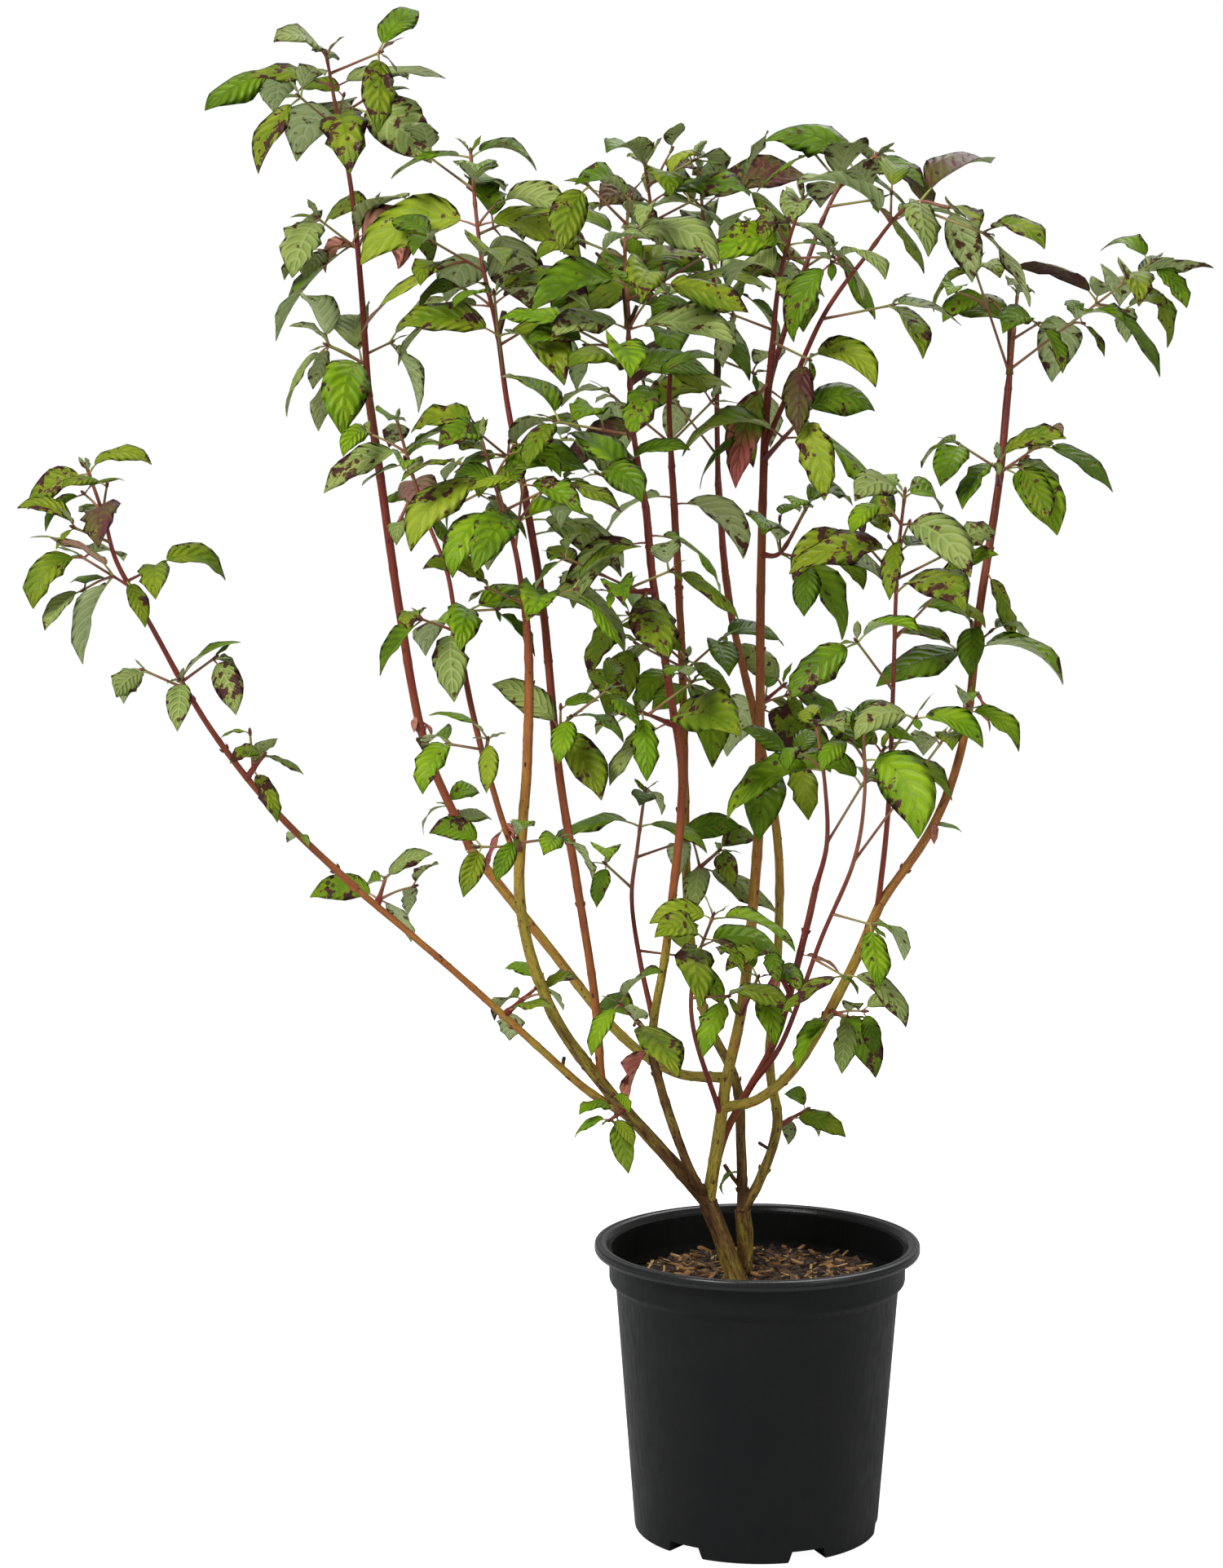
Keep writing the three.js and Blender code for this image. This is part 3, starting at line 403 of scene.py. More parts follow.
# %% Chance and room
ATTEMPTS = 7
RIB_STEPS = 12
STALK_SHARE = 0.16
HALF_WIDTH_SHARE = 0.3
LIGHT_ROLL = 34
LEAF_TURN = (-25, 25)
LEAF_SPREAD = (45, 78)
LEAF_DROOP = (50, 110)
LEAF_SWING = (-28, 28)
LEAF_ROLL = (-30, 30)
LEAF_SIZE = (0.84, 1.1)
LEAF_WIDTH = (0.9, 1.08)
LEAF_PITCH = (-35, 58)
HANGING_DROOP = 0.6
LOOSER_EACH_TRY = 0.5
SMALLER_EACH_TRY = 0.05
# Distances in millimetres: what is tested near a leaf, and the room that it keeps
NEAR_STALK = 95
OWN_NODE = 14
NEAR_LEAF = 90
POT_ROOM = 8
SPRIG_ROOM = 3
TWIG_ROOM = 2.5
STALK_ROOM = 3.2
OWN_LEAF_ROOM = 5.5
OTHER_LEAF_ROOM = 6.5


def chance(seed, draw):
    """A number from 0 to 1 that is always the same for the same seed and draw."""
    wave = math.sin(seed * 12.9898 + draw * 78.233) * 43758.5453
    return wave - math.floor(wave)


def between(seed, draw, low, high):
    return low + (high - low) * chance(seed, draw)


class Room:
    """What a leaf keeps clear of: points down every stem, and points over every leaf."""

    def __init__(self):
        self.stalks, self.radii, self.stalk_owners = [], [], []
        self.leaves, self.leaf_owners = np.zeros((0, 3)), np.zeros(0, int)

    def add_limb(self, limb, owner):
        count = spans_of(limb) * SAMPLES_PER_SPAN
        for i in range(count + 1):
            self.stalks.append(curve_point(limb["points"], i / count))
            self.radii.append(radius_at(limb, i / count))
            self.stalk_owners.append(owner)

    def add_leaf(self, points, owner):
        self.leaves = np.vstack([self.leaves, points])
        self.leaf_owners = np.append(self.leaf_owners, np.full(len(points), owner))

    def meets_stalk(self, points, node, owner, spare):
        if len(self.stalks) != getattr(self, "packed", 0):
            self.packed = len(self.stalks)
            self.stalk_array = np.array(self.stalks)
            self.radius_array = np.array(self.radii)
            self.owner_array = np.array(self.stalk_owners)
        apart = np.linalg.norm(self.stalk_array - node, axis=1)
        near = (apart < NEAR_STALK) & ~((self.owner_array == owner) & (apart < OWN_NODE))
        gaps = np.linalg.norm(points[:, None] - self.stalk_array[near][None], axis=2)
        return bool((gaps < self.radius_array[near] + spare).any())

    def meets_leaf(self, points, node, owner):
        near = np.linalg.norm(self.leaves - node, axis=1) < NEAR_LEAF
        gaps = np.linalg.norm(points[:, None] - self.leaves[near][None], axis=2)
        room = np.where(self.leaf_owners[near] == owner, OWN_LEAF_ROOM, OTHER_LEAF_ROOM)
        return bool((gaps < room).any())


def meets_pot(points):
    beside = np.hypot(points[:, 0], points[:, 1]) < POT_RIM + POT_ROOM
    return bool((beside & (points[:, 2] < POT_HEIGHT + POT_ROOM)).any())


# %% One leaf's path
def blade_outline(share):
    """Half width of a blade at a share of its length: an egg shape drawn out to its tip."""
    return np.sin(np.pi * share ** 0.72) ** 0.85


def turn_about(vector, axis, angle):
    """The vector turned about an axis of length 1."""
    cos, sin = math.cos(angle), math.sin(angle)
    return vector * cos + np.cross(axis, vector) * sin + axis * np.dot(axis, vector) * (1 - cos)


def way_of(turn, lean):
    """The direction, of length 1, at a turn and a lean in radians."""
    level = math.cos(lean)
    return np.array([level * math.cos(turn), level * math.sin(turn), math.sin(lean)])


def draw_leaf(node, heading, pitch, droop, swing, roll, blade, half_width):
    """A leaf's midrib, which starts along its stalk and bends down by its droop."""
    stalk = STALK_SHARE * blade
    step = (stalk + blade) / RIB_STEPS
    spot = np.array(node, float)
    places, alongs, sides = [], [], []
    for i in range(RIB_STEPS + 1):
        part = i / RIB_STEPS
        turn = math.radians(heading + swing * part)
        lean = math.radians(pitch - droop * part)
        along = way_of(turn, lean)
        flat_side = np.array([-math.sin(turn), math.cos(turn), 0.0])
        places.append(spot.copy())
        alongs.append(along)
        sides.append(turn_about(flat_side, along, math.radians(roll)))
        spot = spot + along * step
    rib = {"at": np.array(places), "along": np.array(alongs), "side": np.array(sides)}
    return {**rib, "stalk": stalk, "blade": blade, "half_width": half_width}


def leaf_samples(leaf):
    """Points over a blade, seven across at each step of its midrib."""
    total = leaf["stalk"] + leaf["blade"]
    points = []
    for i in range(2, RIB_STEPS + 1):
        share = min(1, max(0, (i / RIB_STEPS * total - leaf["stalk"]) / leaf["blade"]))
        width = leaf["half_width"] * blade_outline(min(share, 0.98))
        for across in range(-3, 4):
            points.append(leaf["at"][i] + leaf["side"][i] * (across / 3 * width))
    return np.array(points)


def pair_frame(direction):
    """Two directions square to a stem, from which its leaf pairs are turned."""
    reference = np.array([0.0, 0, 1]) if abs(direction[2]) < 0.9 else np.array([1.0, 0, 0])
    first = np.cross(reference, direction)
    first /= np.linalg.norm(first)
    return first, np.cross(direction, first)


def outward_from(direction, turn):
    """The direction square to a stem at a turn round it, in degrees."""
    first, second = pair_frame(direction)
    around = math.radians(turn)
    return first * math.cos(around) + second * math.sin(around)


def start_angles(direction, outward, spread):
    """Heading and pitch of a stalk that leaves its stem at a spread, all in degrees."""
    spread = math.radians(spread)
    start = outward * math.sin(spread) + direction * math.cos(spread)
    return math.degrees(math.atan2(start[1], start[0])), math.degrees(math.asin(start[2]))


def grow_leaf(room, number, owner, node, direction, turn, size):
    """Draws a leaf up to a few times until it is clear of the rest, and gives it back, or None."""
    for attempt in range(ATTEMPTS):
        seed = number * ATTEMPTS + attempt
        looser = 1 + LOOSER_EACH_TRY * attempt
        outward = outward_from(direction, turn + between(seed, 1, *LEAF_TURN) * looser)
        heading, pitch = start_angles(direction, outward, between(seed, 2, *LEAF_SPREAD))
        pitch = min(LEAF_PITCH[1], max(LEAF_PITCH[0], pitch))
        droop = between(seed, 3, *LEAF_DROOP) * (HANGING_DROOP if pitch < 0 else 1)
        swing = between(seed, 4, *LEAF_SWING)
        roll = between(seed, 5, *LEAF_ROLL) + LIGHT_ROLL * math.cos(math.radians(heading))
        blade = size * between(seed, 6, *LEAF_SIZE) * (1 - SMALLER_EACH_TRY * attempt)
        half_width = blade * HALF_WIDTH_SHARE * between(seed, 7, *LEAF_WIDTH)
        leaf = draw_leaf(node, heading, pitch, droop, swing, roll, blade, half_width)
        points = leaf_samples(leaf)
        if meets_pot(points) or room.meets_stalk(points, node, owner, STALK_ROOM):
            continue
        if room.meets_leaf(points, node, owner):
            continue
        room.add_leaf(points, owner)
        return {**leaf, "seed": seed}
    return None


# %% Grow the limbs, stems and side sprigs
limbs = {}
room = Room()
for name, (girth, flare, route) in trunks.items():
    limbs[name] = make_limb(name, route, girth, flare)
for name, (parent, joint, girth, _, route) in boughs.items():
    limbs[name] = make_limb(name, [joint_of(limbs[parent], joint), *route], girth)
for name, limb in limbs.items():
    room.add_limb(limb, -1)

crowns = []
for owner, (name, (host, joint, pairs, leaf_length, route, sprigs)) in enumerate(masses.items()):
    bough = limbs[host]
    foot_radius = radius_at(bough, 1) if joint == spans_of(bough) else SPUR_RADIUS
    stem = make_limb(name, [joint_of(bough, joint), *route], (foot_radius, STEM_TIP))
    room.add_limb(stem, owner)
    crown = {"name": name, "owner": owner, "leaf": leaf_length, "sprigs": sprigs, "shoots": [(stem, pairs)]}
    crowns.append(crown)


def sprig_limb(stem, joint, heading, rise, reach):
    """A straight side sprig that leaves a stem at one of its joints."""
    foot = joint_of(stem, joint)
    level = math.cos(math.radians(rise)) * reach
    heading = math.radians(heading)
    run = [level * math.cos(heading), level * math.sin(heading), math.sin(math.radians(rise)) * reach]
    return make_limb(stem["name"], [foot, foot + run], SPRIG_RADII)


for crown in crowns:
    stem = crown["shoots"][0][0]
    for joint, heading, rise, reach, pairs in crown["sprigs"]:
        sprig = sprig_limb(stem, joint, heading, rise, reach)
        clear_part = np.array([curve_point(sprig["points"], i / 16) for i in range(4, 17)])
        if not room.meets_stalk(clear_part, sprig["points"][0], crown["owner"], SPRIG_ROOM):
            crown["shoots"].append((sprig, pairs))
    for sprig, _ in crown["shoots"][1:]:
        room.add_limb(sprig, crown["owner"])
print("shoots:", sum(len(crown["shoots"]) for crown in crowns))


# %% Grow the leaves in pairs
LOWEST_PAIR = 0.12
HIGHEST_PAIR = 0.985
PAIR_SPACING = 0.42
TIP_LEAF_SIZE = 0.72


def pair_shares(crown, shoot, pairs):
    """Where a shoot's leaf pairs stand, as shares of it counted down from its tip."""
    length, spacing = curve_length(shoot["points"]), crown["leaf"] * PAIR_SPACING
    return [max(LOWEST_PAIR, HIGHEST_PAIR - i * spacing / length) for i in range(pairs)]


def shoot_nodes(crown, shoot, pairs):
    """Places and directions of a shoot's leaf pairs."""
    points = shoot["points"]
    return [(curve_point(points, s), curve_direction(points, s)) for s in pair_shares(crown, shoot, pairs)]


leaf_number = 0
for crown in crowns:
    crown["leaves"] = []
    crown["nodes"] = []
    first_turn = 360 * chance(leaf_number, 0)
    for index, (shoot, pairs) in enumerate(crown["shoots"]):
        for pair, (node, direction) in enumerate(shoot_nodes(crown, shoot, pairs)):
            size = crown["leaf"] * (TIP_LEAF_SIZE if pair == 0 else 1)
            turn = first_turn + 90 * pair + 50 * index
            crown["nodes"].append((node, direction, turn, pair))
            for half_turn in (0, 180):
                place = (node, direction, turn + half_turn)
                leaf = grow_leaf(room, leaf_number, crown["owner"], *place, size)
                leaf_number += 1
                if leaf:
                    crown["leaves"].append(leaf)
print("leaves:", sum(len(crown["leaves"]) for crown in crowns), "of", leaf_number)

# %% [markdown]
# ## Finer twigs and young leaves
#
# The CAD crown stops at its main leaves, because each one costs file size. Real shoots go on: a bud and
# two young leaves close each tip, and short side twigs stand in the forks of the lower pairs. The same
# rule grows them within the same reach, and leaves out a twig or a twig's leaf that finds no room.

# %% Grow the finer twigs
TWIG_RADII = (0.9, 0.75)
TWIG_TRIES = 2
TWIG_SHARE = 0.6
TWIG_REACH = (14, 30)
TWIG_LEAF_SIZES = (0.5, 0.72)
FIRST_TWIG_NUMBER = 1000
TWIG_TURN = (-30, 30)
TWIG_AWAY = 0.72
TWIG_ON = 0.69

twig_number = FIRST_TWIG_NUMBER
for crown in crowns:
    crown["twigs"] = []
    crown["small_leaves"] = []
    for node, direction, turn, pair in crown["nodes"]:
        if pair == 0:
            continue
        for side in range(TWIG_TRIES):
            twig_number += 1
            if chance(twig_number, 2) > TWIG_SHARE:
                continue
            outward = outward_from(direction, turn + 180 * side + between(twig_number, 3, *TWIG_TURN))
            run = (outward * TWIG_AWAY + direction * TWIG_ON) * between(twig_number, 4, *TWIG_REACH)
            twig = make_limb(crown["name"], [node, node + run * 0.5 + [0, 0, 1], node + run], TWIG_RADII)
            if room.meets_stalk(twig["points"][2:], node, crown["owner"], TWIG_ROOM):
                continue
            tip_direction = curve_direction(twig["points"], 1)
            grown = []
            for half_turn in (0, 180):
                size = crown["leaf"] * between(twig_number, 5, *TWIG_LEAF_SIZES)
                place = (twig["points"][2], tip_direction, turn + 90 + half_turn)
                grown.append(grow_leaf(room, twig_number + half_turn * 10, crown["owner"], *place, size))
            if any(grown):
                crown["twigs"].append(twig)
                crown["small_leaves"] += [leaf for leaf in grown if leaf]
print("side twigs:", sum(len(crown["twigs"]) for crown in crowns))


# %% Young leaves at each tip
YOUNG_SPREAD = (22, 45)
YOUNG_DROOP = (10, 50)
YOUNG_ROLL = (-20, 20)
YOUNG_WIDTH_SHARE = 0.22
YOUNG_SIZES = (0.16, 0.27)
FIRST_YOUNG_NUMBER = 5000


def young_leaf(number, node, direction, turn, size):
    """A young leaf, which stands closer to its shoot than a grown one and hardly droops."""
    spread = between(number, 1, *YOUNG_SPREAD)
    heading, pitch = start_angles(direction, outward_from(direction, turn), spread)
    droop, roll = between(number, 2, *YOUNG_DROOP), between(number, 3, *YOUNG_ROLL)
    leaf = draw_leaf(node, heading, pitch, droop, 0, roll, size, size * YOUNG_WIDTH_SHARE)
    return {**leaf, "seed": number}


for crown in crowns:
    for index, (shoot, _) in enumerate(crown["shoots"]):
        number = FIRST_YOUNG_NUMBER + 100 * crown["owner"] + 2 * index
        tip, direction = curve_point(shoot["points"], 1), curve_direction(shoot["points"], 1)
        size = crown["leaf"] * between(number, 4, *YOUNG_SIZES)
        for side in (0, 1):
            turn = 360 * chance(number, 5) + 180 * side
            crown["small_leaves"].append(young_leaf(number + side, tip, direction, turn, size))
print("small leaves:", sum(len(crown["small_leaves"]) for crown in crowns))

# %% [markdown]
# ## Leaves with a place of their own
#
# Some leaves can't be left to chance. A large red one hangs in the middle of the plant, salmon ones have
# withered at the upper left, a few crumpled ones cling to old nodes, pale broad ones fill the crowns and
# two have bronzed at the far right. They go in a table, one row each, with the limb and joint that
# carries them. A rule could pick them too, but these are given one by one.

# %% Placed leaves
DRIED = ("leaf_skin_dried", "leaf_skin_dried")
FLUSHED = ("leaf_skin_flushed", "leaf_underside_flushed")
TURNING = ("leaf_skin_turning", "leaf_underside_flushed")
RED_BACKED = ("leaf_skin_blotched", "leaf_underside_flushed")
PLAIN = ("leaf_skin_green", "leaf_underside")
SAGE_BACKED = ("leaf_skin_deep", "leaf_underside")
PALE = ("leaf_skin_sage", "leaf_underside")
PALE_SPOTTED = ("leaf_skin_sage", "leaf_underside_blotched")
BRONZED = ("leaf_skin_bronzed", "leaf_skin_bronzed")
BRONZED_ABOVE = ("leaf_skin_bronzed", "leaf_underside_blotched")
FOLDED_FINISHES = (DRIED, FLUSHED, TURNING, RED_BACKED, BRONZED, BRONZED_ABOVE)
FOLDED_WIDTH_SHARE = 0.23
PLACED_SWING = 10
FIRST_PLACED_SEED = 9000
# Each row: mass, limb or stem, joint, heading, pitch, droop, roll, blade and finish
PLACED_LEAVES = [
    ("leaves_tall_left_crown", "leaves_tall_left_crown", 1.45, 335, 25, 120, 25, 36, DRIED),
    ("leaves_tall_left_crown", "leaves_tall_left_crown", 1.4, 205, 20, 120, -20, 30, DRIED),
    ("leaves_tall_left_crown", "leaves_tall_left_crown", 1.5, 350, 35, 110, 10, 26, FLUSHED),
    ("leaves_middle_high", "bough_middle", 8.6, 225, -42, 48, 0, 68, TURNING),
    ("leaves_middle_high", "bough_middle", 8.5, 330, -30, 60, -10, 66, RED_BACKED),
    ("leaves_middle_high", "bough_middle", 8.62, 205, -45, 40, -35, 56, TURNING),
    ("leaves_slim_left_low", "bough_slim_left", 0.7, 200, -55, 25, 0, 27, FLUSHED),
    ("leaves_slim_left_low", "bough_slim_left", 0.8, 330, -50, 25, 0, 20, DRIED),
    ("leaves_red_right_low", "bough_red_right", 3.75, 15, -5, 50, 20, 30, FLUSHED),
    ("leaves_red_right_low", "bough_red_right", 3.65, 205, -15, 45, -20, 26, FLUSHED),
    ("leaves_centre_front_base", "bough_centre_front", 2.9, 215, -45, 35, 0, 38, DRIED),
    ("leaves_far_right_crown", "bough_far_right_tip", 3.3, 310, -45, 40, 10, 46, RED_BACKED),
    ("leaves_far_right_middle", "bough_far_right_tip", 2.4, 330, -50, 35, 10, 28, DRIED),
    ("leaves_centre_back_low", "bough_centre_back", 0.6, 200, 30, 170, 15, 24, PLAIN),
    ("leaves_low_left_low", "bough_low_left_tip", 0.65, 120, 20, 70, 20, 20, PLAIN),
    ("leaves_low_left_low", "bough_low_left_tip", 0.7, 290, 10, 60, -20, 17, PLAIN),
    ("leaves_far_right_middle", "bough_far_right_tip", 0.95, 10, 15, 60, 20, 19, PLAIN),
    ("leaves_far_right_middle", "bough_far_right_tip", 1.0, 260, -15, 60, 10, 17, DRIED),
    ("leaves_tall_left_spur", "bough_tall_left_tip", 1.2, 20, -30, 60, 0, 15, DRIED),
    ("leaves_tall_left_spur", "bough_tall_left_tip", 1.25, 250, -40, 50, 0, 13, DRIED),
    ("leaves_low_left_crown", "leaves_low_left_crown", 0.5, 300, -20, 60, 20, 34, RED_BACKED),
    ("leaves_upright_shoot", "leaves_upright_shoot", 3.4, 250, -30, 50, 15, 44, RED_BACKED),
    ("leaves_centre_back_crown", "bough_centre_back", 7.75, 205, 10, 95, 25, 66, SAGE_BACKED),
    ("leaves_centre_back_crown", "bough_centre_back", 7.7, 20, 5, 90, -20, 62, PALE_SPOTTED),
    ("leaves_middle_high", "bough_middle", 8.05, 195, 0, 90, 20, 58, SAGE_BACKED),
    ("leaves_left_inner_crown", "bough_left_inner", 4.75, 350, 5, 80, 30, 66, PALE_SPOTTED),
    ("leaves_left_inner_crown", "bough_left_inner", 4.6, 20, 15, 75, -25, 64, PALE),
    ("leaves_centre_front_crown", "bough_centre_front", 7.6, 15, 0, 85, 20, 60, PLAIN),
    ("leaves_centre_front_crown", "bough_centre_front", 7.5, 195, 0, 85, -25, 62, PALE_SPOTTED),
    ("leaves_far_right_crown", "far_right_sprig", 0.62, 180, 55, 75, 25, 58, BRONZED),
    ("leaves_far_right_crown", "far_right_sprig", 0.84, 352, 28, 45, -25, 50, BRONZED_ABOVE),
]

by_name = {crown["name"]: crown for crown in crowns}
hosts = {**limbs, **{name: crown["shoots"][0][0] for name, crown in by_name.items()}}
hosts["far_right_sprig"] = by_name["leaves_far_right_crown"]["shoots"][2][0]
for row, (mass, host, joint, heading, pitch, droop, roll, blade, finish) in enumerate(PLACED_LEAVES):
    node = joint_of(hosts[host], joint)
    width_share = FOLDED_WIDTH_SHARE if finish in FOLDED_FINISHES else HALF_WIDTH_SHARE
    leaf = draw_leaf(node, heading, pitch, droop, PLACED_SWING, roll, blade, blade * width_share)
    by_name[mass]["small_leaves"].append({**leaf, "seed": FIRST_PLACED_SEED + row, "finish": finish})
print("placed leaves:", len(PLACED_LEAVES))

# %% [markdown]
# ## Bark
#
# A dogwood's bark is thin and smooth. It is brown and finely cracked on the old trunks, olive and
# yellow on last year's wood, and crimson on the youngest shoots, which is what the plant is grown for.
# Limbs could be skinned by hand, but they follow paths, so Geometry Nodes sweep a ring along each path
# and then push the surface in and out a little. The path carries what the tree needs as attributes: the
# radius, with a swelling at each pair of buds and at each fork, the bark's age and its depth of relief.

# %% Paths with their radii, ages and relief
SWELLING_REACH = 2.4
COLLAR_REACH = 5.0
FIRST_RING = (18, 40)
RING_SPACING = (44, 72)
BARE_TIP = 12
GRAIN_OFFSET = 0.017


class Paths:
    """Paths joined in one mesh of edges, with the values that each point carries."""

    def __init__(self):
        self.places, self.edges = [], []
        self.values = {"girth": [], "age": [], "relief": [], "along": []}

    def add(self, places, radii, ages, relief):
        start = len(self.places)
        steps = np.linalg.norm(np.diff(places, axis=0), axis=1)
        along = np.concatenate([[0], np.cumsum(steps)])
        self.places.extend(np.asarray(places) * MM)
        self.edges.extend((start + i, start + i + 1) for i in range(len(places) - 1))
        self.values["girth"].extend(np.asarray(radii) * MM)
        self.values["age"].extend(np.interp(along, np.linspace(0, along[-1], len(ages)), ages))
        self.values["relief"].extend(np.full(len(places), relief * MM))
        self.values["along"].extend(along * MM + start * GRAIN_OFFSET)

    def as_object(self, name):
        mesh = new_mesh(name, self.places, edges=self.edges)
        for label, numbers in self.values.items():
            store(mesh, label, numbers)
        return mesh_object(name, mesh)


def swollen(limb, spacing, rings, collar, swelling):
    """Places down a limb and its radii there, swollen at its foot and at the places of its rings."""
    count = max(4, math.ceil(curve_length(limb["points"]) / spacing))
    shares = np.linspace(0, 1, count + 1)
    places = np.array([curve_point(limb["points"], share) for share in shares])
    along = np.concatenate([[0], np.cumsum(np.linalg.norm(np.diff(places, axis=0), axis=1))])
    radii = np.array([radius_at(limb, share) for share in shares])
    factor = 1 + collar * np.exp(-along / COLLAR_REACH)
    for ring in rings:
        factor += swelling * np.exp(-(((along - ring) / SWELLING_REACH) ** 2))
    return places, radii * factor


def ring_places(limb, seed):
    """Where pairs of buds stood down a limb, as lengths from its foot."""
    length = curve_length(limb["points"])
    rings = []
    place = between(seed, 1, *FIRST_RING)
    while place < length - BARE_TIP:
        rings.append(place)
        place += between(seed, 2 + len(rings), *RING_SPACING)
    return rings


# %% [markdown]
# ## The tree that sweeps bark along a path
#
# Curve to Mesh carries a ring down each path, scaled by the path's own radius. Each point also keeps
# its place in the grain: where it is round the limb and how far down it, the length cut to a fifth, so
# that any noise there is drawn out down the limb as bark is. That noise then moves each point along its
# normal, by a distance that the path gives: up to half a millimetre on old bark, and next to nothing on
# young red bark, which stays as smooth as lacquer.

# %% Bark tree
GRAIN_STRETCH = 5.0


def bark_tree():
    tree, add, given = start_tree("bark_sweep", {"Sides": "Int", "Grain": "Float", "Bark": "Material"})
    curve = add("GeometryNodeMeshToCurve", {"Mesh": given["Geometry"]})
    ring = add("GeometryNodeCurvePrimitiveCircle", {"Resolution": given["Sides"], "Radius": 1.0})
    place = add("GeometryNodeInputPosition")
    around = add(
        "GeometryNodeStoreNamedAttribute",
        {"Geometry": ring.outputs["Curve"], "Name": "around", "Value": place}, data_type="FLOAT_VECTOR"
    )
    girth = add(NAMED_VALUE, {"Name": "girth"})
    swept = add(
        "GeometryNodeCurveToMesh",
        {"Curve": curve, "Profile Curve": around, "Scale": girth, "Fill Caps": True}
    )
    relief = add(NAMED_VALUE, {"Name": "relief"})
    turned_to = add(NAMED_VALUE, {"Name": "around"}, data_type="FLOAT_VECTOR")
    round_limb = add(VECTOR_MATH, {"Vector": turned_to, "Scale": girth}, operation="SCALE")
    along = add(NAMED_VALUE, {"Name": "along"})
    shortened = add(MATH, (along, GRAIN_STRETCH), operation="DIVIDE")
    down_limb = add("ShaderNodeCombineXYZ", {"Z": shortened})
    grain = add(VECTOR_MATH, {"Vector": round_limb, "Vector_001": down_limb}, operation="ADD")
    grained = add(
        "GeometryNodeStoreNamedAttribute", {"Geometry": swept, "Name": "grain", "Value": grain},
        data_type="FLOAT_VECTOR"
    )
    noise = add(NOISE, {"Vector": grain, "Scale": given["Grain"], "Detail": 3.0})
    lift = add(MATH, (noise.outputs[0], 0.5), operation="SUBTRACT")
    depth = add(MATH, (lift, relief), operation="MULTIPLY")
    normal = add("GeometryNodeInputNormal")
    push = add(VECTOR_MATH, {"Vector": normal.outputs[0], "Scale": depth}, operation="SCALE")
    moved = add("GeometryNodeSetPosition", {"Geometry": grained, "Offset": push})
    return close_tree(tree, moved, given["Bark"])


sweep = bark_tree()

# %% [markdown]
# ## Bark finish
#
# Dogwood bark is living cork under a waxy skin. On young wood the wax gives a clear highlight; on old
# wood it has cracked away and the surface is dull. One material covers both: the age attribute picks the
# colour from a ramp and sets the gloss. Fine cracks are noise in the grain, so each is a dark line about
# 1 mm wide and 6 mm long down the limb, and they fade out as the bark gets younger.

# %% Bark material
BARK_COLOURS = {
    0.0: "#36240f", 0.12: "#5e3e1c", 0.22: "#725826", 0.32: "#8c7c2a", 0.46: "#9c8830", 0.58: "#9e662c",
    0.7: "#8a4b24", 0.8: "#7c3521", 0.88: "#702822", 0.93: "#7c402c", 0.97: "#8e6248", 1.0: "#8c8448",
}
CRACK_COLOUR = "#2b1a12"


def bark_material():
    material, add = start_material("dogwood_bark")
    place = add("ShaderNodeTexCoord").outputs["Object"]
    age = add("ShaderNodeAttribute", attribute_name="age").outputs["Fac"]
    grain = add("ShaderNodeAttribute", attribute_name="grain").outputs["Vector"]
    cloud = add(NOISE, {"Vector": grain, "Scale": 1 / (4 * MM), "Detail": 6.0})
    swing = add(MAP_RANGE, (age, 0.15, 0.9, 0.75, 0.12))
    centred = add(MATH, (cloud.outputs[0], 0.5), operation="SUBTRACT")
    mixed_age = add(MATH, (centred, swing, age), operation="MULTIPLY_ADD")
    ramp = add("ShaderNodeValToRGB", {"Fac": mixed_age})
    stops = ramp.color_ramp.elements
    while len(stops) < len(BARK_COLOURS):
        stops.new(0.5)
    for stop, (at, colour) in zip(stops, BARK_COLOURS.items()):
        stop.position = at
        stop.color = linear(colour)
    cracks = add(NOISE, {"Vector": grain, "Scale": 1 / (1.3 * MM), "Detail": 3.0, "Roughness": 0.6})
    crack = add(MAP_RANGE, (cracks.outputs[0], 0.52, 0.64))
    oldness = add(MAP_RANGE, (age, 0.25, 0.75, 0.75, 0.12))
    crack_share = add(MATH, (crack, oldness), operation="MULTIPLY")
    cracked = add(
        MIX,
        {"Factor_Float": crack_share, "A_Color": ramp.outputs["Color"], "B_Color": linear(CRACK_COLOUR)},
        data_type="RGBA"
    )
    gloss = add(MAP_RANGE, (age, 0.2, 0.9, 0.72, 0.38))
    rough = add(NOISE, {"Vector": place, "Scale": 1 / (1.2 * MM), "Detail": 3.0})
    height = add(MATH, (rough.outputs[0], crack_share), operation="SUBTRACT")
    bump = add(BUMP, {"Height": height, "Strength": 0.5, "Distance": 0.5 * MM})
    return finish_material(material, cracked, gloss, 1.45, bump, Specular_IOR_Level=0.35)


bark = bark_material()
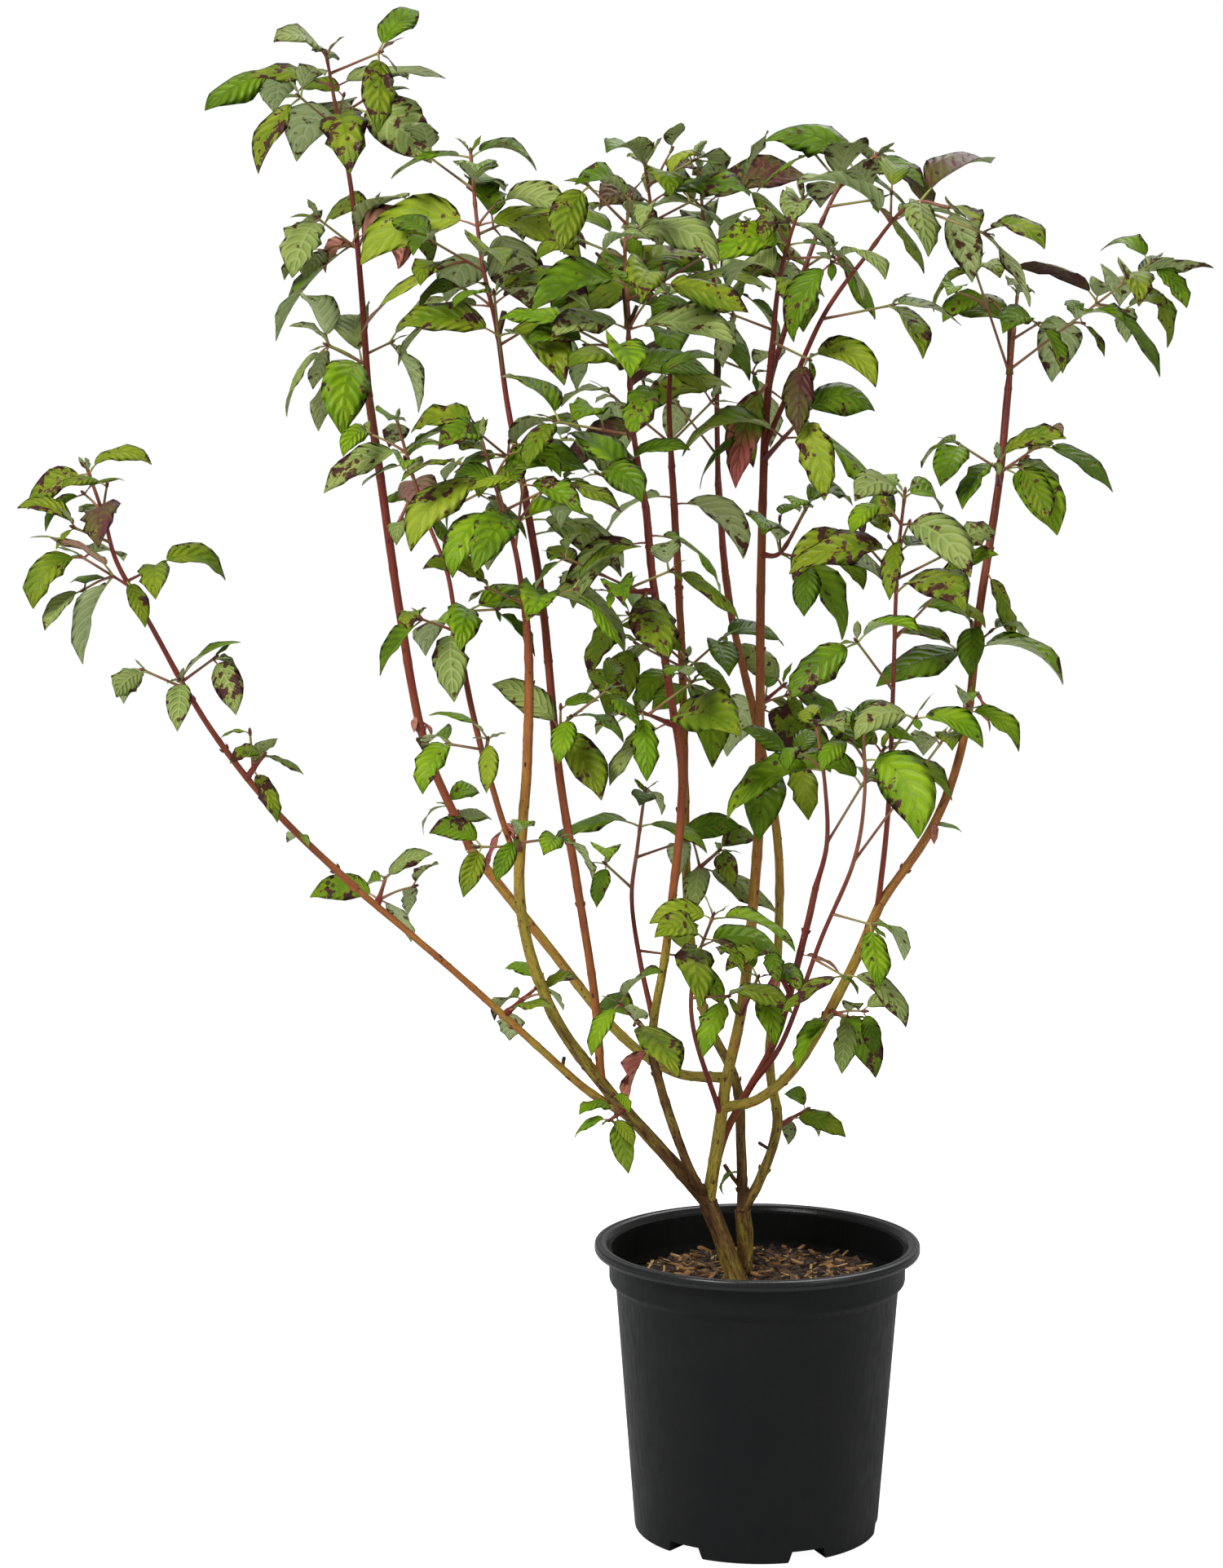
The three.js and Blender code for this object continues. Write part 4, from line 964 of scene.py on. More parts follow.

# %% [markdown]
# ## Trunks and boughs
#
# The two trunks are cut flat where they leave the mulch. Each bough keeps its CAD path and taper. Three
# pieces hold them, one for each bark that the bough table names, so that each can be repainted on its own.

# %% Sweep the trunks and boughs
BARK_AGES = {
    "trunk_left": (0.26, 0.2, 0.06), "trunk_right": (0.22, 0.27, 0.2),
    "bough_left_front": (0.1, 0.3, 0.52, 0.74), "bough_middle": (0.36, 0.86),
    "bough_left_inner": (0.62, 0.88), "bough_low_left": (0.45, 0.68),
    "bough_low_left_tip": (0.68, 0.9), "bough_tall_left": (0.36, 0.6), "bough_tall_left_tip": (0.72, 0.93),
    "bough_slim_left": (0.62, 0.88), "bough_far_right": (0.4, 0.54), "bough_far_right_tip": (0.56, 0.86),
    "bough_centre_front": (0.12, 0.15, 0.72, 0.8, 0.86), "bough_centre_back": (0.1, 0.86),
    "bough_right_back": (0.2, 0.86), "bough_red_right": (0.7, 0.92),
}
GROUND_CUT = 176.5
BOUGH_FULLNESS = 1.14
SLENDER_FULLNESS = 0.86
SLENDER_BOUGHS = ("bough_low_left", "bough_low_left_tip")
FIRST_RING_SEED = 7000
OLD_BARK = 0.3
OLD_RELIEF = 1.5
YOUNG_RELIEF = 0.6
TAPER_STEP = 2.2
BOUGH_COLLAR = 0.25
BOUGH_SWELLING = 0.09
skins = {name: skin for name, (_, _, _, skin, _) in boughs.items()}
BARK_PIECES = {
    "trunks": ("brown_bark", ["trunk_left", "trunk_right", "bough_centre_front"]),
    "olive_boughs": ("olive_bark", [name for name, skin in skins.items() if skin == "olive"]),
    "red_boughs": ("red_bark", [name for name, skin in skins.items() if skin == "red"]),
}

bud_points = []
bark_pieces = []
for piece_name, (slot, names) in BARK_PIECES.items():
    paths = Paths()
    for name in names:
        limb = limbs[name]
        seed = FIRST_RING_SEED + list(limbs).index(name)
        is_trunk = name in trunks
        rings = [] if is_trunk else ring_places(limb, seed)
        collar = 0 if is_trunk else BOUGH_COLLAR
        places, radii = swollen(limb, TAPER_STEP, rings, collar, BOUGH_SWELLING)
        fullness = SLENDER_FULLNESS if name in SLENDER_BOUGHS else BOUGH_FULLNESS
        radii = radii * np.linspace(1, fullness, len(radii))
        kept = places[:, 2] > GROUND_CUT
        relief = OLD_RELIEF if BARK_AGES[name][0] < OLD_BARK else YOUNG_RELIEF
        paths.add(places[kept], radii[kept], BARK_AGES[name], relief)
        for ring in rings:
            share = ring / curve_length(limb["points"])
            bud_points.append((limb, share, 360 * chance(seed, 40 + ring)))
    piece = paths.as_object(piece_name)
    run_tree(piece, sweep, {"Sides": 14, "Grain": 1 / (4 * MM), "Bark": bark})
    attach(piece, "root")
    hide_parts(*names)
    bark_pieces.append(piece)

# %% [markdown]
# ## Pruned stubs
#
# The plant was pruned, and each cut left a short stub that died back and went black. A stub is one more
# path for the same tree, with hardly any taper and an age near nought, so it takes the darkest bark.

# %% Sweep the stubs
# Each row: limb or stem, joint, heading, rise in degrees, length and radius
STUBS = [
    ("leaves_left_inner_crown", 1.95, 30, 70, 15, 2.1),
    ("leaves_centre_front_crown", 2.75, 120, 80, 24, 2.3),
    ("leaves_centre_front_crown", 2.8, 340, 62, 13, 1.4),
    ("leaves_right_back_crown", 1.2, 280, 84, 30, 2.7),
    ("bough_right_back", 1.55, 200, 25, 11, 1.2),
    ("bough_centre_back", 0.35, 165, 48, 20, 1.5),
    ("bough_low_left", 1.6, 80, 40, 9, 1.3),
    ("bough_far_right", 2.2, 140, 30, 8, 1.4),
    ("leaves_far_right_crown", 0.3, 80, 84, 34, 2.0),
]
STUB_SHAPE = (1.35, 1.15, 1, 0.98, 1.02, 0.97, 1.03, 1.06, 0.96)
STUB_AGES = (0.12, 0.0)
STUB_RELIEF = 0.9
STUB_HOOK = 0.12
stub_paths = Paths()
for host, joint, heading, rise, reach, radius in STUBS:
    foot = joint_of(hosts[host], joint)
    way = way_of(math.radians(heading), math.radians(rise)) * reach
    hook = np.array([0, 0, reach * STUB_HOOK])
    parts = np.linspace(0, 1, len(STUB_SHAPE))
    places = np.array([foot + way * part + hook * part ** 2 for part in parts])
    stub_paths.add(places, radius * np.array(STUB_SHAPE), STUB_AGES, STUB_RELIEF)
stub_piece = stub_paths.as_object("pruned_stubs")
run_tree(stub_piece, sweep, {"Sides": 12, "Grain": 1 / (2.5 * MM), "Bark": bark})
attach(stub_piece, "root")

# %% [markdown]
# ## Twigs and leaf stalks
#
# This year's shoots are thinner, with a swelling at each pair of leaves, and end in a bud. The leaf
# stalks are about a millimetre thick. The same tree sweeps them all, with fewer sides.

# %% Sweep the twigs
STEM_THINNING = (0.95, 0.62)
SPRIG_THINNING = (0.68, 0.55)
STEM_AGES = (0.82, 0.93)
SPRIG_AGES = (0.92, 0.97)
TWIG_AGES = (0.95, 1.0)
YOUTH_RANGE = (0, 0.06)
TWIG_STEP = 2.5
SHOOT_COLLAR, SHOOT_SWELLING, SHOOT_RELIEF = 0.35, 0.3, 0.25
TWIG_COLLAR, TWIG_RELIEF = 0.4, 0.1
all_masses = [crown["name"] for crown in crowns]
twig_paths = Paths()
for crown in crowns:
    for index, (shoot, pairs) in enumerate(crown["shoots"]):
        length = curve_length(shoot["points"])
        rings = [length * share for share in pair_shares(crown, shoot, pairs)]
        places, radii = swollen(shoot, TWIG_STEP, rings, SHOOT_COLLAR, SHOOT_SWELLING)
        thinning = np.linspace(*(SPRIG_THINNING if index else STEM_THINNING), len(radii))
        youth = between(crown["owner"] * 20 + index, 31, *YOUTH_RANGE)
        ages = [age + youth for age in (SPRIG_AGES if index else STEM_AGES)]
        twig_paths.add(places, radii * thinning, ages, SHOOT_RELIEF)
    for twig in crown["twigs"]:
        places, radii = swollen(twig, TWIG_STEP, [], TWIG_COLLAR, 0)
        twig_paths.add(places, radii, TWIG_AGES, TWIG_RELIEF)
twig_piece = twig_paths.as_object("twigs")
run_tree(twig_piece, sweep, {"Sides": 9, "Grain": 1 / (4 * MM), "Bark": bark})
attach(twig_piece, "root")
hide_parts(*all_masses)


# %% Leaf stalk finish: a soft green stem flushed with pink, slightly waxy
STALK_GREEN = "#9aa352"
STALK_PINK = "#8f5a48"


def stalk_material():
    material, add = start_material("leaf_stalk_skin")
    place = add("ShaderNodeTexCoord").outputs["Object"]
    flush = add(NOISE, {"Vector": place, "Scale": 1 / (30 * MM), "Detail": 2.0})
    share = add(MAP_RANGE, (flush.outputs[0], 0.42, 0.6))
    colour = add(
        MIX, {"Factor_Float": share, "A_Color": linear(STALK_GREEN), "B_Color": linear(STALK_PINK)},
        data_type="RGBA"
    )
    ripple = add(NOISE, {"Vector": place, "Scale": 1 / (1.5 * MM)})
    bump = add(BUMP, {"Height": ripple.outputs[0], "Strength": 0.2, "Distance": 0.2 * MM})
    return finish_material(material, colour, 0.45, 1.42, bump)


# %% Sweep the leaf stalks
STALK_RADII = (0.95, 0.6)
STALK_POINTS = 5
STALK_OVERLAP = 0.25
THINNEST_STALK = 0.45
THICK_STALK_BLADE = 90
stalk_paths = Paths()
for crown in crowns:
    for leaf in crown["leaves"] + crown["small_leaves"]:
        thickness = min(1, THINNEST_STALK + leaf["blade"] / THICK_STALK_BLADE)
        end = leaf["stalk"] / (leaf["stalk"] + leaf["blade"]) * RIB_STEPS + STALK_OVERLAP
        steps = np.linspace(0, end, STALK_POINTS)
        ways = [np.interp(steps, range(RIB_STEPS + 1), leaf["at"][:, k]) for k in range(3)]
        places = np.stack(ways, axis=1)
        radii = np.linspace(*STALK_RADII, STALK_POINTS) * thickness
        stalk_paths.add(places, radii, (1, 1), 0)
stalk_piece = stalk_paths.as_object("leaf_stalks")
run_tree(stalk_piece, sweep, {"Sides": 6, "Grain": 1 / (4 * MM), "Bark": stalk_material()})
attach(stalk_piece, "root")
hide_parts(*all_masses)

# %% [markdown]
# ## Leaves
#
# A dogwood leaf is an ellipse with a drawn-out tip. It arches over its midrib, folds up along it, and
# has a wavy margin, which insects have left ragged on some. A mesh fine enough to follow every vein
# would need hundreds of faces a leaf, for hundreds of leaves. So each leaf is a grid of 48 faces a side,
# which carries its bend, fold and wave, and each point of the grid carries its place on the leaf, from
# which the finish works out the veins.
# An upper and a lower sheet meet at the margin, so each leaf is a thin closed solid.

# %% The grid of one leaf
ROWS = 12
COLUMNS = (-1, -0.55, 0, 0.55, 1)
TIP_START = 0.74
TIP_DRAW = 0.45


def seen_outline(share):
    """Half width of a finished blade: widest near its middle, and drawn out to a narrow tip."""
    tip = np.clip((share - TIP_START) / (1 - TIP_START), 0, 1)
    return np.sin(np.pi * share ** 0.86) ** 0.74 * (1 - TIP_DRAW * tip)


def leaf_grid():
    """Each point's share along the blade, place across it and sheet; then the faces and their sides."""
    points = [(0.0, 0.0, 0)]
    top, under = [], []
    for sheet, rows in ((1, top), (-1, under)):
        for row in range(1, ROWS):
            share = (1 - math.cos(math.pi * row / ROWS)) / 2
            line = []
            for column, across in enumerate(COLUMNS):
                if sheet < 0 and abs(across) == 1:
                    line.append(top[row - 1][column])
                    continue
                points.append((share, across, sheet))
                line.append(len(points) - 1)
            rows.append(line)
    points.append((1.0, 0.0, 0))
    tip = len(points) - 1
    faces, sides = [], []
    for side, rows in ((0, top), (1, under)):
        rings = [[0] * len(COLUMNS), *rows, [tip] * len(COLUMNS)]
        for near, far in zip(rings, rings[1:]):
            for column in range(len(COLUMNS) - 1):
                corners = [near[column], far[column], far[column + 1], near[column + 1]]
                corners = list(dict.fromkeys(corners))
                faces.append([corners[0], *corners[:0:-1]] if side == 0 else corners)
                sides.append(side)
    return np.array(points), faces, np.array(sides)


grid_points, grid_faces, grid_sides = leaf_grid()
print("leaf grid:", len(grid_points), "points,", len(grid_faces), "faces")


# %% Shape one leaf
LEAF_THICKNESS = 0.4
BLADE_FULLNESS = 0.84
BLADE_REACH = 1.05
FOLD = (2, 36)
CURL = (-0.5, 0.1)
WAVES = (6, 13)
WAVE_DEPTH = (0.02, 0.06)
DRIED_CRUMPLE = 2.2
RAGGED_SHARE = 0.35
RAGGED_DEPTH = 0.28
BITES = (9, 15)
KEEL = 0.5
FULL_THICKNESS_BLADE = 45


def shape_leaf(leaf):
    """The places of a leaf's grid points, in millimetres, along its own bent midrib."""
    seed = leaf["seed"]
    share, across, sheet = grid_points.T
    part = (leaf["stalk"] + share * leaf["blade"]) / (leaf["stalk"] + leaf["blade"]) * RIB_STEPS
    steps = np.arange(RIB_STEPS + 1)

    def on_rib(rows):
        return np.stack([np.interp(part, steps, rows[:, k]) for k in range(3)], axis=1)

    foot = leaf["at"][0]
    at = foot + (on_rib(leaf["at"]) - foot) * BLADE_REACH
    along, side = on_rib(leaf["along"]), on_rib(leaf["side"])
    up = np.cross(along, side)
    up /= np.linalg.norm(up, axis=1)[:, None]
    across = across * seen_outline(share)
    reach = np.abs(across)
    width = across * leaf["half_width"] * BLADE_FULLNESS
    if chance(seed, 17) < RAGGED_SHARE:
        bites = np.sin(share * between(seed, 18, *BITES) + np.sign(across) * between(seed, 19, 0.5, 2)) ** 4
        width *= 1 - RAGGED_DEPTH * bites * reach ** 2
    crumple = DRIED_CRUMPLE if "dried" in leaf.get("finish", ("",))[0] else 1
    fold = math.tan(math.radians(between(seed, 12, *FOLD) * crumple))
    curl = between(seed, 13, *CURL)
    lift = np.abs(width) * fold * (1 - 0.4 * share) + curl * np.abs(width) * reach ** 2
    wave = np.sin(share * between(seed, 14, *WAVES) + np.sign(across) * between(seed, 15, 0.5, 2.5))
    lift += wave * reach ** 2 * leaf["blade"] * between(seed, 16, *WAVE_DEPTH) * crumple
    half = LEAF_THICKNESS / 2 * min(1, leaf["blade"] / FULL_THICKNESS_BLADE)
    keel = np.where((across == 0) & (sheet < 0), KEEL * (1 - share), 0)
    return at + side * width[:, None] + up * (lift + sheet * half - keel)[:, None]


# %% [markdown]
# ## Leaf finishes
#
# A leaf's upper skin is a thin wax over green tissue, with a soft highlight. Underneath it is matt and
# pale, with a bloom. The veins are sunk in the upper side and stand out below, and the blade puffs up
# between them, which makes it look quilted. On the upper skins the vein colour is partly the veins' own
# and partly painted shade of their furrows, which makes it darker; on the undersides it is the veins' own
# paler colour. They could be a picture on each leaf, but their lines follow from the place on the leaf:
# each one is the midrib, or bends forward from it to the margin. This plant is at the end of its season:
# many leaves have purple-brown blotches with a yellow edge, some have flushed red, and a few have dried.
# The blotches fall anywhere, so noise places them.

# %% Veins
VEINS = 7
VEIN_SWEEP = 0.3
VEIN_BEND = 1.4
MIDRIB_ROOM = 2.3


def vein_distance(add, parts):
    """How far a place on a leaf is from its nearest vein: 0 on the vein, 0.5 midway between two."""
    reach = add(MATH, (parts[1],), operation="ABSOLUTE")
    bent = add(MATH, (reach, VEIN_BEND), operation="POWER")
    start = add(MATH, (bent, -VEIN_SWEEP, parts[0]), operation="MULTIPLY_ADD")
    count = add(MATH, (start, VEINS), operation="MULTIPLY")
    between_veins = add(MATH, (count, 0.5), operation="PINGPONG")
    from_midrib = add(MATH, (reach, MIDRIB_ROOM), operation="MULTIPLY")
    return add(MATH, (between_veins, from_midrib), operation="MINIMUM")


# %% Leaf materials
QUILT_DEPTH = 1.2
HALO_COLOUR = "#84842a"


def blotch_level(add, place, edge):
    """Noise that is higher near a leaf's edge, and higher over some parts of the plant than others."""
    clouds = add(NOISE, {"Vector": place, "Scale": 1 / (10 * MM), "Detail": 4.0, "Roughness": 0.6})
    region = add(NOISE, {"Vector": place, "Scale": 1 / (60 * MM), "Detail": 1.0})
    shift = add(MAP_RANGE, (region.outputs[0], 0.3, 0.7, -0.1, 0.08))
    regional = add(MATH, (clouds.outputs[0], shift), operation="ADD")
    return add(MATH, (edge, 0.08, regional), operation="MULTIPLY_ADD")


def leaf_material(name, colour, patch, blotch, blotch_from, vein_and_furrow_shade_colour, vein_and_furrow_shade_share, roughness):
    """blotch_from is the noise level above which blotches show; the vein share is how much the vein colour
    shows, which on the upper skins is darker as painted shade of the sunk veins' furrows.
    """
    material, add = start_material(name)
    place = add("ShaderNodeTexCoord").outputs["Object"]
    spot = add("ShaderNodeAttribute", attribute_name="leaf_place").outputs["Vector"]
    parts = add("ShaderNodeSeparateXYZ", {"Vector": spot}).outputs
    from_vein = vein_distance(add, parts)
    patches = add(NOISE, {"Vector": place, "Scale": 1 / (26 * MM), "Detail": 3.0})
    patch_share = add(MAP_RANGE, (parts[0] if "turning" in name else patches.outputs[0], 0.4, 0.62))
    base = add(
        MIX, {"Factor_Float": patch_share, "A_Color": linear(colour), "B_Color": linear(patch)},
        data_type="RGBA"
    )
    # The vein colour is the veins' own, and on the upper skins it is also darker as painted shade of the
    # furrows that the sunk veins make.
    line = add(MAP_RANGE, (from_vein, 0.02, 0.17, vein_and_furrow_shade_share, 0.0))
    veined_and_furrow_shaded = add(
        MIX, {"Factor_Float": line, "A_Color": base, "B_Color": linear(vein_and_furrow_shade_colour)}, data_type="RGBA"
    )
    level = blotch_level(add, place, parts[2])
    halo = add(MAP_RANGE, (level, blotch_from - 0.05, blotch_from, 0.0, 0.45))
    yellowed = add(
        MIX, {"Factor_Float": halo, "A_Color": veined_and_furrow_shaded, "B_Color": linear(HALO_COLOUR)}, data_type="RGBA"
    )
    stain = add(MAP_RANGE, (level, blotch_from, blotch_from + 0.022))
    specks = add("ShaderNodeTexVoronoi", {"Vector": place, "Scale": 1 / (8 * MM)})
    speck = add(MAP_RANGE, (specks.outputs["Distance"], 0.2, 0.26, 0.9, 0.0))
    speck_room = add(MAP_RANGE, (level, blotch_from - 0.13, blotch_from - 0.1))
    kept_speck = add(MATH, (speck, speck_room), operation="MULTIPLY")
    marked = add(MATH, (stain, kept_speck), operation="MAXIMUM")
    spotted = add(
        MIX, {"Factor_Float": marked, "A_Color": yellowed, "B_Color": linear(blotch)}, data_type="RGBA"
    )
    quilt = add(MAP_RANGE, (from_vein, 0.0, 0.5), interpolation_type="SMOOTHERSTEP")
    crinkle = add(NOISE, {"Vector": place, "Scale": 1 / (2.6 * MM), "Detail": 2.0})
    height = add(MATH, (crinkle.outputs[0], 0.12, quilt), operation="MULTIPLY_ADD")
    bump = add(
        BUMP, {"Height": height, "Strength": 0.7, "Distance": QUILT_DEPTH * MM},
        invert="underside" in name
    )
    return finish_material(material, spotted, roughness, 1.4, bump, Specular_IOR_Level=0.24)


PURPLE_BROWN = "#45261e"
# Each row: colour, patch colour, blotch colour, blotch level, vein colour, vein share and roughness; on the
# upper skins the darker vein colour is partly painted shade of the sunk veins' furrows.
LEAF_FINISHES = {
    "leaf_skin_green": ("#668a0c", "#82a018", PURPLE_BROWN, 0.66, "#48680a", 0.5, 0.46),
    "leaf_skin_deep": ("#4c680a", "#688810", PURPLE_BROWN, 0.65, "#365008", 0.5, 0.44),
    "leaf_skin_yellowing": ("#80941c", "#929e2c", PURPLE_BROWN, 0.65, "#5c741c", 0.5, 0.48),
    "leaf_skin_blotched": ("#607812", "#7e8c1c", PURPLE_BROWN, 0.61, "#465c0a", 0.5, 0.48),
    "leaf_skin_sage": ("#788a44", "#87954c", PURPLE_BROWN, 0.63, "#9ca86a", 0.6, 0.52),
    "leaf_skin_bronzed": ("#5a3230", "#5e5a26", "#3c201c", 0.62, "#42262a", 0.5, 0.46),
    "leaf_skin_turning": ("#6c8420", "#cc6e66", "#5c2420", 0.62, "#7c3a30", 0.8, 0.46),
    "leaf_skin_flushed": ("#cc6a70", "#8a7238", "#74383a", 0.68, "#8c3038", 0.7, 0.46),
    "leaf_skin_dried": ("#dc9c86", "#bc7060", "#5e3026", 0.66, "#984e42", 0.6, 0.6),
    "leaf_underside": ("#acc07c", "#b6c888", "#543a2c", 0.68, "#ced8a8", 0.7, 0.6),
    "leaf_underside_blotched": ("#a4b670", "#aeb878", "#543628", 0.61, "#c6d09c", 0.7, 0.6),
    "leaf_underside_flushed": ("#c08478", "#a8a26c", "#6a3a34", 0.66, "#d0a694", 0.6, 0.6),
}
leaf_materials = {name: leaf_material(name, *values) for name, values in LEAF_FINISHES.items()}
finish_names = list(leaf_materials)
print("leaf finishes:", len(finish_names))


# %% Deal out a finish to each leaf
OUTER_SHARES = {"leaf_skin_blotched": 0.2, "leaf_skin_bronzed": 0.05, "leaf_skin_sage": 0.22}
FINISH_SHARES = {
    "leaf_skin_blotched": 0.2, "leaf_skin_bronzed": 0.0, "leaf_skin_sage": 0.08, "leaf_skin_deep": 0.26,
    "leaf_skin_yellowing": 0.06,
}
MIDDLE_X = -60
MIDDLE_Z = 500
OUTER_REACH = 500
FLUSHED_BACKS = 0.12
BLOTCHED_BACKS = 0.3


def finishes_of(leaf):
    """The names of a leaf's upper and lower finish, drawn by chance unless the leaf has its own."""
    if "finish" in leaf:
        return leaf["finish"]
    draw = chance(leaf["seed"], 21)
    foot = leaf["at"][0]
    outer = (math.hypot(foot[0] - MIDDLE_X, foot[2] - MIDDLE_Z) / OUTER_REACH) ** 2
    pale_draw = chance(leaf["seed"], 22) - FLUSHED_BACKS * outer
    pale = "leaf_underside_blotched" if pale_draw < BLOTCHED_BACKS else "leaf_underside"
    if pale_draw < 0:
        pale = "leaf_underside_flushed"
    for finish, share in FINISH_SHARES.items():
        draw -= share + OUTER_SHARES.get(finish, 0) * outer
        if draw < 0:
            return finish, ("leaf_underside_blotched" if "blotched" in finish else pale)
    return "leaf_skin_green", pale


# %% Build the foliage
FOLIAGE = {
    "foliage_left": ("tall_left", "slim_left", "left_front", "left_inner", "low_left"),
    "foliage_middle": ("centre_front", "slender_shoot", "centre_back", "middle", "dark_red"),
    "foliage_right": ("right_back", "right_arch", "far_right", "upright", "red_right"),
}


def in_group(name, starts):
    return any(name.startswith("leaves_" + start) for start in starts)


def foliage_mesh(name, leaves):
    """One mesh of many leaves, with a finish for each side of each leaf."""
    places = np.vstack([shape_leaf(leaf) for leaf in leaves]) * MM
    count = len(grid_points)
    faces = [[corner + i * count for corner in face] for i in range(len(leaves)) for face in grid_faces]
    mesh = new_mesh(name, places, faces)
    for finish in finish_names:
        mesh.materials.append(leaf_materials[finish])
    indices = []
    for leaf in leaves:
        pair = [finish_names.index(finish) for finish in finishes_of(leaf)]
        indices.append(np.array(pair)[grid_sides])
    mesh.polygons.foreach_set("material_index", np.concatenate(indices))
    share, across, _ = grid_points.T
    edge = np.maximum(np.abs(across) ** 3, np.clip((share - 0.8) / 0.2, 0, 1))
    spots = np.tile(np.stack([share, across, edge], axis=1), (len(leaves), 1))
    store(mesh, "leaf_place", spots)
    mesh.shade_smooth()
    return mesh


for piece_name, starts in FOLIAGE.items():
    group = [crown for crown in crowns if in_group(crown["name"], starts)]
    leaves = [leaf for crown in group for leaf in crown["leaves"] + crown["small_leaves"]]
    piece = mesh_object(piece_name, foliage_mesh(piece_name, leaves))
    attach(piece, "root")
    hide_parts(*[crown["name"] for crown in group])
    print(piece_name + ":", len(leaves), "leaves,", len(piece.data.polygons), "faces")

# %% [markdown]
# ## Lenticels and buds
#
# The small pale bumps on young dogwood bark are lenticels, the pores that it breathes through; on old
# bark they have grown to dark warts. They sit anywhere on the bark, so points are scattered on the
# finished bark and a flattened ball stands on each. Buds do have a place: one closes each shoot, and a
# pair hugs the stem at each swelling. Both could be sculpted one by one, but a tree that places one
# small shape on many points does it at once.

# %% Lenticels
def lenticel_tree():
    sockets = {"Density": "Float", "Size": "Vector", "Seed": "Int", "Skin": "Material"}
    tree, add, given = start_tree("lenticel_scatter", sockets)
    points = add(
        "GeometryNodeDistributePointsOnFaces",
        {"Mesh": given["Geometry"], "Density": given["Density"], "Seed": given["Seed"]}
    )
    ball = add("GeometryNodeMeshIcoSphere", {"Radius": 1.0, "Subdivisions": 1})
    spread = add(
        "FunctionNodeRandomValue", {"Min_001": 0.6, "Max_001": 1.3, "Seed": given["Seed"]},
        data_type="FLOAT"
    )
    size = add(VECTOR_MATH, {"Vector": given["Size"], "Scale": spread}, operation="SCALE")
    placed = add(
        "GeometryNodeInstanceOnPoints",
        {"Points": points.outputs["Points"], "Instance": ball.outputs["Mesh"],
         "Rotation": points.outputs["Rotation"], "Scale": size}
    )
    return close_tree(tree, placed, given["Skin"])


def plain_material(name, colour, other, patch, roughness, ior, bump_size):
    """A finish of two close colours in patches, with a fine bump. Sizes are in millimetres."""
    material, add = start_material(name)
    place = add("ShaderNodeTexCoord").outputs["Object"]
    noise = add(NOISE, {"Vector": place, "Scale": 1 / (patch * MM), "Detail": 3.0})
    share = add(MAP_RANGE, (noise.outputs[0], 0.35, 0.65))
    mixed = add(
        MIX, {"Factor_Float": share, "A_Color": linear(colour), "B_Color": linear(other)},
        data_type="RGBA"
    )
    fine = add(NOISE, {"Vector": place, "Scale": 1 / (bump_size * MM), "Detail": 4.0})
    bump = add(BUMP, {"Height": fine.outputs[0], "Strength": 0.4, "Distance": 0.3 * MM})
    return finish_material(material, mixed, roughness, ior, bump)


def joined(name, meshes):
    """One mesh from several plain meshes that share a material."""
    places, faces = [], []
    for mesh in meshes:
        start = len(places)
        places.extend(tuple(vertex.co) for vertex in mesh.vertices)
        faces.extend([corner + start for corner in polygon.vertices] for polygon in mesh.polygons)
    whole = new_mesh(name, places, faces)
    whole.materials.append(meshes[0].materials[0])
    whole.shade_smooth()
    return whole


trunk_piece, olive_piece, red_piece = bark_pieces
pale_cork = plain_material("lenticel_cork", "#a08060", "#805c40", 8, 0.8, 1.4, 0.6)
dark_cork = plain_material("wart_cork", "#38240f", "#54381c", 8, 0.95, 1.2, 0.6)
# Each row: piece, skin, how many a square metre, size and the bark that it stands on
WARTS = [
    ("bark_warts", dark_cork, 9000.0, (0.5 * MM, 0.7 * MM, 0.34 * MM), [trunk_piece, olive_piece]),
    ("lenticels", pale_cork, 9000.0, (0.34 * MM, 0.52 * MM, 0.22 * MM), [red_piece, twig_piece]),
]
scatter = lenticel_tree()
for piece_name, skin, density, size, carriers in WARTS:
    warts = mesh_object(piece_name, carriers[0].data)
    wart_meshes = []
    for index, carrier in enumerate(carriers):
        warts.data = carrier.data.copy()
        run_tree(warts, scatter, {"Density": density, "Size": size, "Seed": 3 + index, "Skin": skin})
        wart_meshes.append(warts.data)
    warts.data = joined(piece_name, wart_meshes)
    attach(warts, "root")


# %% Buds
def bud_tree():
    tree, add, given = start_tree("bud_place", {"Bud": "Material"})
    ball = add("GeometryNodeMeshUVSphere", {"Segments": 8, "Rings": 6, "Radius": 1.0})
    way = add(NAMED_VALUE, {"Name": "way"}, data_type="FLOAT_VECTOR")
    length = add(NAMED_VALUE, {"Name": "length"})
    turned_to = add("FunctionNodeAlignRotationToVector", {"Vector": way}, axis="Z")
    slim = add(VECTOR_MATH, {"Vector": (0.36, 0.36, 1.0), "Scale": length}, operation="SCALE")
    placed = add(
        "GeometryNodeInstanceOnPoints",
        {"Points": given["Geometry"], "Instance": ball.outputs["Mesh"], "Rotation": turned_to,
         "Scale": slim}
    )
    return close_tree(tree, placed, given["Bud"])


SIDE_BUD = 2.0
TIP_BUD = 3.4
BUD_OFF = 0.5
BUD_LEAN = 0.25
BUD_SUNK = 1.5

